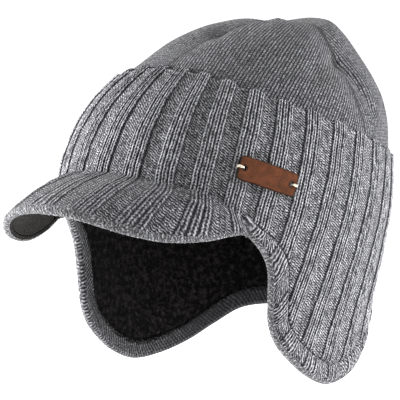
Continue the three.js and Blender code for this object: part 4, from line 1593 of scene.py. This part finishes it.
@dataclass
class PileLining:
    """The black pile inside the band, the flaps and the nape."""

    wall: WallForm
    hem: HemCourse
    brow_lap: float = 6.0
    thickness: float = 3.0
    edge_gap: float = 0.9
    foot_lap: float = 0.8
    columns: int = 460
    rows: int = 90
    back_rows: int = 8
    tuft: float = 0.55
    clump_run: float = 6.0
    clump_rise: float = 7.0

    def edges(self, brow: np.ndarray) -> tuple[np.ndarray, np.ndarray]:
        """Give the heights of the lining's top and bottom edges at the brow angles."""
        wall = self.wall
        top = wall.crossing(brow, lambda at: wall.band_top(at) - wall.band_lap - self.edge_gap)
        bottom = wall.crossing(brow, self.hem.lower_edge(self.brow_lap, self.hem.inner_width))
        return top, bottom - self.foot_lap

    def build(self) -> bpy.types.Object:
        """Build the lining as one closed wall whose inner face is uneven."""
        wall = self.wall
        turns = np.mod(np.arange(self.columns) / self.columns + 0.5, 1) - 0.5
        brow = wall.angle_at(turns * 2 * wall.half_girth)
        top, bottom = self.edges(brow)
        inner = np.linspace(0, 1, self.rows)[None, :]
        outer = np.linspace(1, 0, self.back_rows)[None, :]
        heights = lerp(top[:, None], bottom[:, None], np.concatenate([inner, outer], axis=1))
        random = np.random.default_rng(3)
        fuzz = random.normal(0, self.tuft, (self.columns, self.rows))
        run = np.arange(self.columns)[:, None] / self.clump_run
        clump = self.tuft * sway(run, heights[:, : self.rows] / self.clump_rise, 41, 9)
        rim = np.minimum(inner, 1 - inner) * self.rows
        pad = -self.thickness * ease(rim, -1.5, 2.5)
        face = pad - np.abs(fuzz * 0.7 + clump * 0.5) * 0.6
        proud = np.concatenate([face, 0 * outer * face[:, :1]], axis=1)
        angles = wall.leaning(brow[:, None], heights)
        points = wall.at(angles, heights, proud)[:, ::-1]
        cloth = np.zeros((self.columns + 1, self.rows + self.back_rows + 1, 3))
        draft = MeshDraft()
        draft.add_grid(points, cloth, around=True, along=True)
        return draft.build("pile_lining_fleece")


@dataclass
class PileTufts:
    """Loose tufts of the pile, thickest where it meets the facing of the hem."""

    lining: PileLining
    spread_count: int = 14000
    edge_count: int = 9000
    length: float = 2.6
    radius: float = 0.34
    edge_reach: float = 1.7
    edge_depth: float = 1.6
    root: float = 0.1

    def build(self) -> bpy.types.Object:
        """Build every tuft as a closed three-sided spike, all in one piece."""
        random = np.random.default_rng(17)
        count = self.spread_count + self.edge_count
        wall = self.lining.wall
        brow = wall.angle_at(random.uniform(-1, 1, count) * wall.half_girth)
        top, bottom = self.lining.edges(brow)
        share = random.uniform(0.02, 0.99, count)
        height = lerp(top, bottom, share)
        at_edge = np.arange(count) >= self.spread_count
        height = np.where(at_edge, bottom + random.uniform(0, self.edge_depth, count), height)
        angle = wall.leaning(brow, height)
        base = wall.at(angle, height, np.full(count, -self.lining.thickness + self.root))
        length = self.length * random.uniform(0.6, 1.3, count)
        edge_drop = self.edge_reach * random.uniform(0.3, 1.5, count)
        drop = np.where(at_edge, edge_drop, random.normal(0, 0.9, count))
        swing = random.normal(0, 0.6, count)
        edge_deep = random.uniform(0.5, 1.0, count)
        deep = np.where(at_edge, edge_deep, length * random.uniform(0.3, 0.8, count))
        tip = wall.at(angle + swing, height - drop, -self.lining.thickness - deep)
        ahead = tip - base
        side = np.cross(ahead, random.normal(0, 1, (count, 3)))
        side = side / np.linalg.norm(side, axis=1, keepdims=True)
        up = np.cross(ahead, side)
        up = up / np.linalg.norm(up, axis=1, keepdims=True)
        turns = np.arange(3) * 2 * math.pi / 3
        ring = base[:, None] + self.radius * (
            np.cos(turns)[None, :, None] * side[:, None] + np.sin(turns)[None, :, None] * up[:, None]
        )
        points = np.concatenate([ring, tip[:, None]], axis=1)
        corners = np.array([[0, 1, 3, -1], [1, 2, 3, -1], [2, 0, 3, -1], [0, 2, 1, -1]])
        faces = np.arange(count)[:, None, None] * 4 + corners[None]
        faces = np.where(corners[None] < 0, -1, faces).reshape(-1, 4)
        draft = MeshDraft()
        draft.points.append(points.reshape(-1, 3))
        draft.faces.append(faces)
        draft.cloth.append(np.zeros((len(faces), 4, 3)))
        draft.looks.append(np.zeros(len(faces), int))
        return draft.build("pile_tufts")


@dataclass
class LeatherLabel:
    """The plain leather label on the left front, with a hole near each end."""

    wall: WallForm
    length: float = 35.0
    height: float = 13.4
    thickness: float = 1.5
    corner: float = 2.2
    angle: float = 61.0
    middle_height: float = 0.2
    tilt: float = 19.0
    hole_width: float = 2.6
    hole_inset: float = 3.2
    seat_proud: float = 3.9
    columns: int = 120
    rows: int = 44
    edge_round: float = 0.4
    curl: float = 0.25
    waviness: float = 0.1
    burnish: float = 0.55
    hole_burnish: float = 0.5
    end_turn: float = 0.96

    def at(self, across: np.ndarray, up: np.ndarray, out: np.ndarray) -> np.ndarray:
        """Give the point across the label's length, up its height and out from the band.

        The wall leans back as it rises, so the girth gives way to keep the corners square.
        """
        wall, tilt, turn = self.wall, math.radians(self.tilt), math.radians(self.angle)
        girth = wall.girth_at(self.angle) + across * math.cos(tilt) + up * math.sin(tilt)
        height = self.middle_height - across * math.sin(tilt) + up * math.cos(tilt)
        lean = wall.lean_at(wall.along_at(height)) - wall.lean_at(wall.along_at(self.middle_height))
        backward = wall.half_length * math.sin(turn)
        slope = backward / math.hypot(backward, wall.half_width * math.cos(turn))
        return wall.at(wall.angle_at(girth - lean * slope), height, self.seat_proud + out)

    def build(self) -> bpy.types.Object:
        """Build the plate with rounded edges, then punch its two holes."""
        half_length, half_height = self.length / 2, self.height / 2
        last = math.pi / 2 * self.end_turn
        spread = np.sin(np.linspace(-1, 1, self.columns + 1) * last) / math.sin(last)
        across = (spread * half_length)[:, None]
        corner = np.maximum(np.abs(across) - (half_length - self.corner), 0)
        trim = self.corner - np.sqrt(np.maximum(self.corner**2 - corner**2, 0))
        up = -np.linspace(-1, 1, self.rows + 1)[None, :] * (half_height - trim)
        to_end = half_length - np.abs(across)
        to_side = (half_height - trim) - np.abs(up)
        near = np.minimum(to_end, to_side)
        short = 1 - np.clip(near / self.edge_round, 0, 1)
        rounding = self.edge_round * (1 - np.sqrt(np.clip(1 - short**2, 0, 1)))
        waves = self.waviness * sway(across / 18 + 0 * up, up / 11, 51)
        curl = self.curl * (across / half_length) ** 4 + waves
        front = self.at(across + 0 * up, up, self.thickness - rounding + curl)
        back = self.at(across + 0 * up, up, 0 * up + curl * 0.5)
        edge = np.exp(-((near / self.burnish) ** 2))
        for side in (-1, 1):
            to_hole = np.hypot(across - side * (half_length - self.hole_inset), up) - self.hole_width / 2
            edge = np.maximum(edge, 0.9 * np.exp(-((np.maximum(to_hole, 0) / self.hole_burnish) ** 2)))
        cloth = np.stack([edge, edge * 0, edge * 0], axis=-1)
        draft = MeshDraft()
        first = draft.add_grid(front, cloth, around=False, along=False)
        second = draft.add_grid(back[::-1], cloth[::-1], around=False, along=False)[::-1]
        self.close(draft, first, second)
        plate = draft.build("leather_label_plate")
        for side in (-1, 1):
            self.punch(plate, side * (half_length - self.hole_inset))
        return plate

    @staticmethod
    def close(draft: MeshDraft, first: np.ndarray, second: np.ndarray) -> None:
        """Join the edges of the front and back grids."""
        rings = []
        for grid in (first, second):
            ring = [grid[:, 0], grid[-1, 1:], grid[-2::-1, -1], grid[0, -2:0:-1]]
            rings.append(np.concatenate(ring))
        front, back = rings
        faces = np.stack([front, np.roll(front, -1), np.roll(back, -1), back], axis=-1)
        draft.looks.append(np.zeros(len(faces), int))
        draft.faces.append(faces)
        draft.cloth.append(np.broadcast_to(np.array([1.0, 0, 0]), (len(faces), 4, 3)))

    def punch(self, plate: bpy.types.Object, across: float) -> None:
        """Punch a round hole through the plate."""
        low, high = (
            Vector(self.at(np.array(across), np.array(0.0), np.array(out)) * MM)
            for out in (-4.0, 6.0)
        )
        through = high - low
        bpy.ops.mesh.primitive_cylinder_add(
            vertices=32, radius=self.hole_width / 2 * MM, depth=through.length
        )
        drill = bpy.context.object
        turn = through.to_track_quat("Z", "Y").to_matrix().to_4x4()
        drill.matrix_world = Matrix.Translation((low + high) / 2) @ turn
        bpy.context.view_layer.update()
        cut = plate.modifiers.new("punch", "BOOLEAN")
        cut.operation, cut.object, cut.solver = "DIFFERENCE", drill, "EXACT"
        evaluated = plate.evaluated_get(bpy.context.evaluated_depsgraph_get())
        punched = bpy.data.meshes.new_from_object(evaluated)
        plate.modifiers.clear()
        old, plate.data = plate.data, punched
        bpy.data.meshes.remove(old)
        bpy.data.objects.remove(drill)


@dataclass
class LabelTacks:
    """Cream thread tacks that hold the label, from each hole over the end of the leather."""

    label: LeatherLabel
    threads: int = 3
    radius: float = 0.3
    sides: int = 10
    steps: int = 28
    fan: float = 0.5
    overhang: float = 1.2
    lift: float = 0.55
    root: float = 1.4

    def build(self) -> bpy.types.Object:
        """Build every thread as a closed tube and join them in one piece."""
        label = self.label
        draft = MeshDraft()
        for side in (-1, 1):
            for thread in range(self.threads):
                fan = (thread - (self.threads - 1) / 2) * self.fan
                t = np.linspace(0, 1, self.steps)
                start = label.length / 2 - label.hole_inset
                across = side * (start + t * (label.hole_inset + self.overhang))
                up = fan * (0.35 + 0.75 * t) + 0.12 * np.sin(9 * t + thread * 2)
                arch = label.thickness + self.lift
                out = arch - (arch + self.root) * ease(t, 0.72, 1.0) - (arch + 0.2) * ease(t, 0.16, 0.0)
                path = label.at(across, up, out)
                self.add_tube(draft, path)
        return draft.build("label_tack_threads")

    def add_tube(self, draft: MeshDraft, path: np.ndarray) -> None:
        """Add one closed tube along a path, in millimetres."""
        ahead = np.gradient(path, axis=0)
        ahead = ahead / np.linalg.norm(ahead, axis=1, keepdims=True)
        side = np.cross(ahead, np.array([0.3, -0.2, 1.0]))
        side = side / np.linalg.norm(side, axis=1, keepdims=True)
        up = np.cross(side, ahead)
        turn = np.arange(self.sides) * (2 * math.pi / self.sides)
        ring = np.cos(turn)[None, :, None] * side[:, None] + np.sin(turn)[None, :, None] * up[:, None]
        points = path[:, None] + self.radius * ring
        lengths = np.concatenate([[0], np.cumsum(np.linalg.norm(np.diff(path, axis=0), axis=1))])
        around = np.arange(self.sides + 1) / self.sides * 2
        run, across = np.broadcast_arrays(lengths[:, None], around[None, :])
        cloth = np.stack([across, run, 0 * run], axis=-1)
        index = draft.add_grid(points, cloth, around=False, along=True)
        draft.cap(index[0, :-1][::-1].copy(), cloth[0, :-1][::-1])
        draft.cap(index[-1, :-1].copy(), cloth[-1, :-1])


@dataclass
class SoftLight:
    """A soft square light of the studio."""

    name: str
    azimuth: float
    elevation: float
    distance: float
    width: float
    power: float


STUDIO_LIGHTS = [
    SoftLight("left_light", -52, 12, 1.5, 0.8, 92),
    SoftLight("right_light", 132, 14, 1.5, 0.8, 54),
    SoftLight("front_fill", 44, 25, 2.2, 1.2, 4),
    SoftLight("top_light", 60, 80, 1.8, 1.4, 2),
]


@dataclass
class Studio:
    """Pale floor, soft lights and the camera at the photograph's angle."""

    azimuth: float = 44.0
    elevation: float = 5.2
    distance: float = 1.944
    scale: float = 1.6670
    picture: float = 400.0
    sensor: float = 36.0
    aim_right: float = -0.01638
    aim_up: float = -0.021
    floor_gap: float = 0.16
    floor_size: float = 160.0
    floor_glow: float = 0.85
    sky_strength: float = 0.36

    def direction(self, azimuth: float, elevation: float) -> Vector:
        """Give the direction from the cap towards a place round it."""
        a, e = math.radians(azimuth), math.radians(elevation)
        return Vector((math.sin(a) * math.cos(e), -math.cos(a) * math.cos(e), math.sin(e)))

    def camera(self) -> None:
        """Place the camera where the photograph was taken from."""
        back = self.direction(self.azimuth, self.elevation)
        right = Vector((0, 0, 1)).cross(back).normalized()
        up = back.cross(right)
        aim = self.aim_right * right + self.aim_up * up
        data = bpy.data.cameras.new("camera")
        data.sensor_width = self.sensor
        focal = self.scale / MM * self.distance
        data.lens = focal / self.picture * self.sensor
        camera = bpy.data.objects.new("camera", data)
        camera.matrix_world = Matrix.Translation(aim + back * self.distance) @ Matrix(
            (right, up, back)
        ).transposed().to_4x4()
        bpy.context.scene.collection.objects.link(camera)
        bpy.context.scene.camera = camera

    def lights(self) -> None:
        """Hang the soft lights and fill the room with a pale sky."""
        for light in STUDIO_LIGHTS:
            data = bpy.data.lights.new(light.name, "AREA")
            data.shape, data.size, data.energy = "SQUARE", light.width, light.power
            lamp = bpy.data.objects.new(light.name, data)
            toward = self.direction(light.azimuth, light.elevation)
            turn = toward.to_track_quat("Z", "Y").to_matrix().to_4x4()
            lamp.matrix_world = Matrix.Translation(toward * light.distance) @ turn
            bpy.context.scene.collection.objects.link(lamp)
        world = bpy.data.worlds.new("pale_room")
        world.use_nodes = True
        sky = world.node_tree.nodes["Background"]
        sky.inputs["Color"].default_value = (1, 1, 1, 1)
        sky.inputs["Strength"].default_value = self.sky_strength
        bpy.context.scene.world = world
        bpy.context.scene.view_settings.view_transform = "Standard"

    def floor(self) -> None:
        """Lay the plain pale floor below the flaps."""
        level = CAD_BOX[0][2] - self.floor_gap
        half = self.floor_size / 2
        mesh = bpy.data.meshes.new("studio_floor")
        corners = [(-half, -half, level), (half, -half, level), (half, half, level), (-half, half, level)]
        mesh.from_pydata(corners, [], [(0, 1, 2, 3)])
        floor = bpy.data.objects.new("studio_floor", mesh)
        weave = Weave("pale_floor")
        grain = weave.noise(3, 2.0)
        weave.colours(grain, [(0.2, (0.93, 0.93, 0.93)), (0.8, (0.95, 0.95, 0.95))])
        weave.shader.inputs["Roughness"].default_value = 0.9
        weave.shader.inputs["Emission Color"].default_value = (1, 1, 1, 1)
        weave.shader.inputs["Emission Strength"].default_value = self.floor_glow
        mesh.materials.append(weave.material)
        bpy.context.scene.collection.objects.link(floor)

    def build(self) -> None:
        """Set up camera, floor and lights."""
        self.camera()
        self.floor()
        self.lights()


@dataclass(frozen=True)
class Cut:
    """A sheet of cloth before it was sewn: the box it is cut from, and its own area."""

    flat: tuple[float, float]
    area: float


@dataclass
class Cap:
    """The whole cap: its pieces, each with its finish."""

    wall: WallForm = field(default_factory=WallForm)
    plan: RibPlan = field(default_factory=RibPlan)
    cuts: tuple[Cut, ...] = (
        Cut((0.56, 0.15), 0.040),
        Cut((0.61, 0.16), 0.058),
        Cut((0.165, 0.085), 0.0067),
        Cut((0.59, 0.15), 0.048),
    )

    def build(self) -> None:
        """Build every piece and dress it."""
        wall, plan = self.wall, self.plan
        hem = HemCourse(wall)
        form = PeakForm(wall, hem, plan)
        pitch = 2 * wall.half_girth / plan.count
        ribs, edge = RibKnitFinish(pitch=pitch), CordEdgeFinish()
        # The peak's top uses the band's yarn in darker colours: painted shade, since the side lights reach
        # its upturned face less.
        shaded_peak_ribs = RibKnitFinish(
            pitch=pitch,
            stitch=2.3,
            bar=1.8,
            bar_slant=0.5,
            chain_share=0.62,
            purl_share=0.64,
            middle=(0.031, 0.031, 0.035),
            light=(0.31, 0.31, 0.33),
            depth=0.8,
        )
        facing = JerseyFinish(wale=2.3, stitch=1.9)
        # The loose tufts use a lighter copy of the pile's colours: painted light of fibres catching the lamps
        # at the lining's edge.
        tufts = PileFinish(dark=(0.002, 0.0018, 0.0018), light=(0.03, 0.027, 0.026))
        lining, label = PileLining(wall, hem), LeatherLabel(wall)
        crown = CrownShell(wall).build()
        band = RibBand(wall, hem, plan).build()
        peak = PeakKnit(form).build()
        underside = PeakUnderside(form).build()
        edging = FlapHem(wall, hem, plan).build()
        pile = lining.build()
        loose = PileTufts(lining).build()
        plate = label.build()
        threads = LabelTacks(label).build()
        fit_piece(crown, Slot.CROWN, "crown", JerseyFinish())
        fit_piece(band, Slot.BAND, "rib_band", ribs)
        fit_piece(peak, Slot.BAND, "peak", shaded_peak_ribs, edge, UndersideFinish())
        fit_piece(underside, Slot.UNDERSIDE, "peak_underside", UndersideFinish())
        fit_piece(edging, Slot.HEM, "flap_hem", ribs, edge, facing)
        fit_piece(pile, Slot.PILE, "pile_lining", PileFinish())
        fit_piece(loose, Slot.PILE, None, tufts)
        fit_piece(plate, Slot.LEATHER, "leather_label", LeatherFinish())
        fit_piece(threads, Slot.THREAD, None, ThreadFinish())


def main() -> None:
    """Build the cap and its studio."""
    logging.basicConfig(level=logging.INFO, format="%(name)s: %(message)s")
    Studio().build()
    Cap().build()


if __name__ == "__main__":
    main()
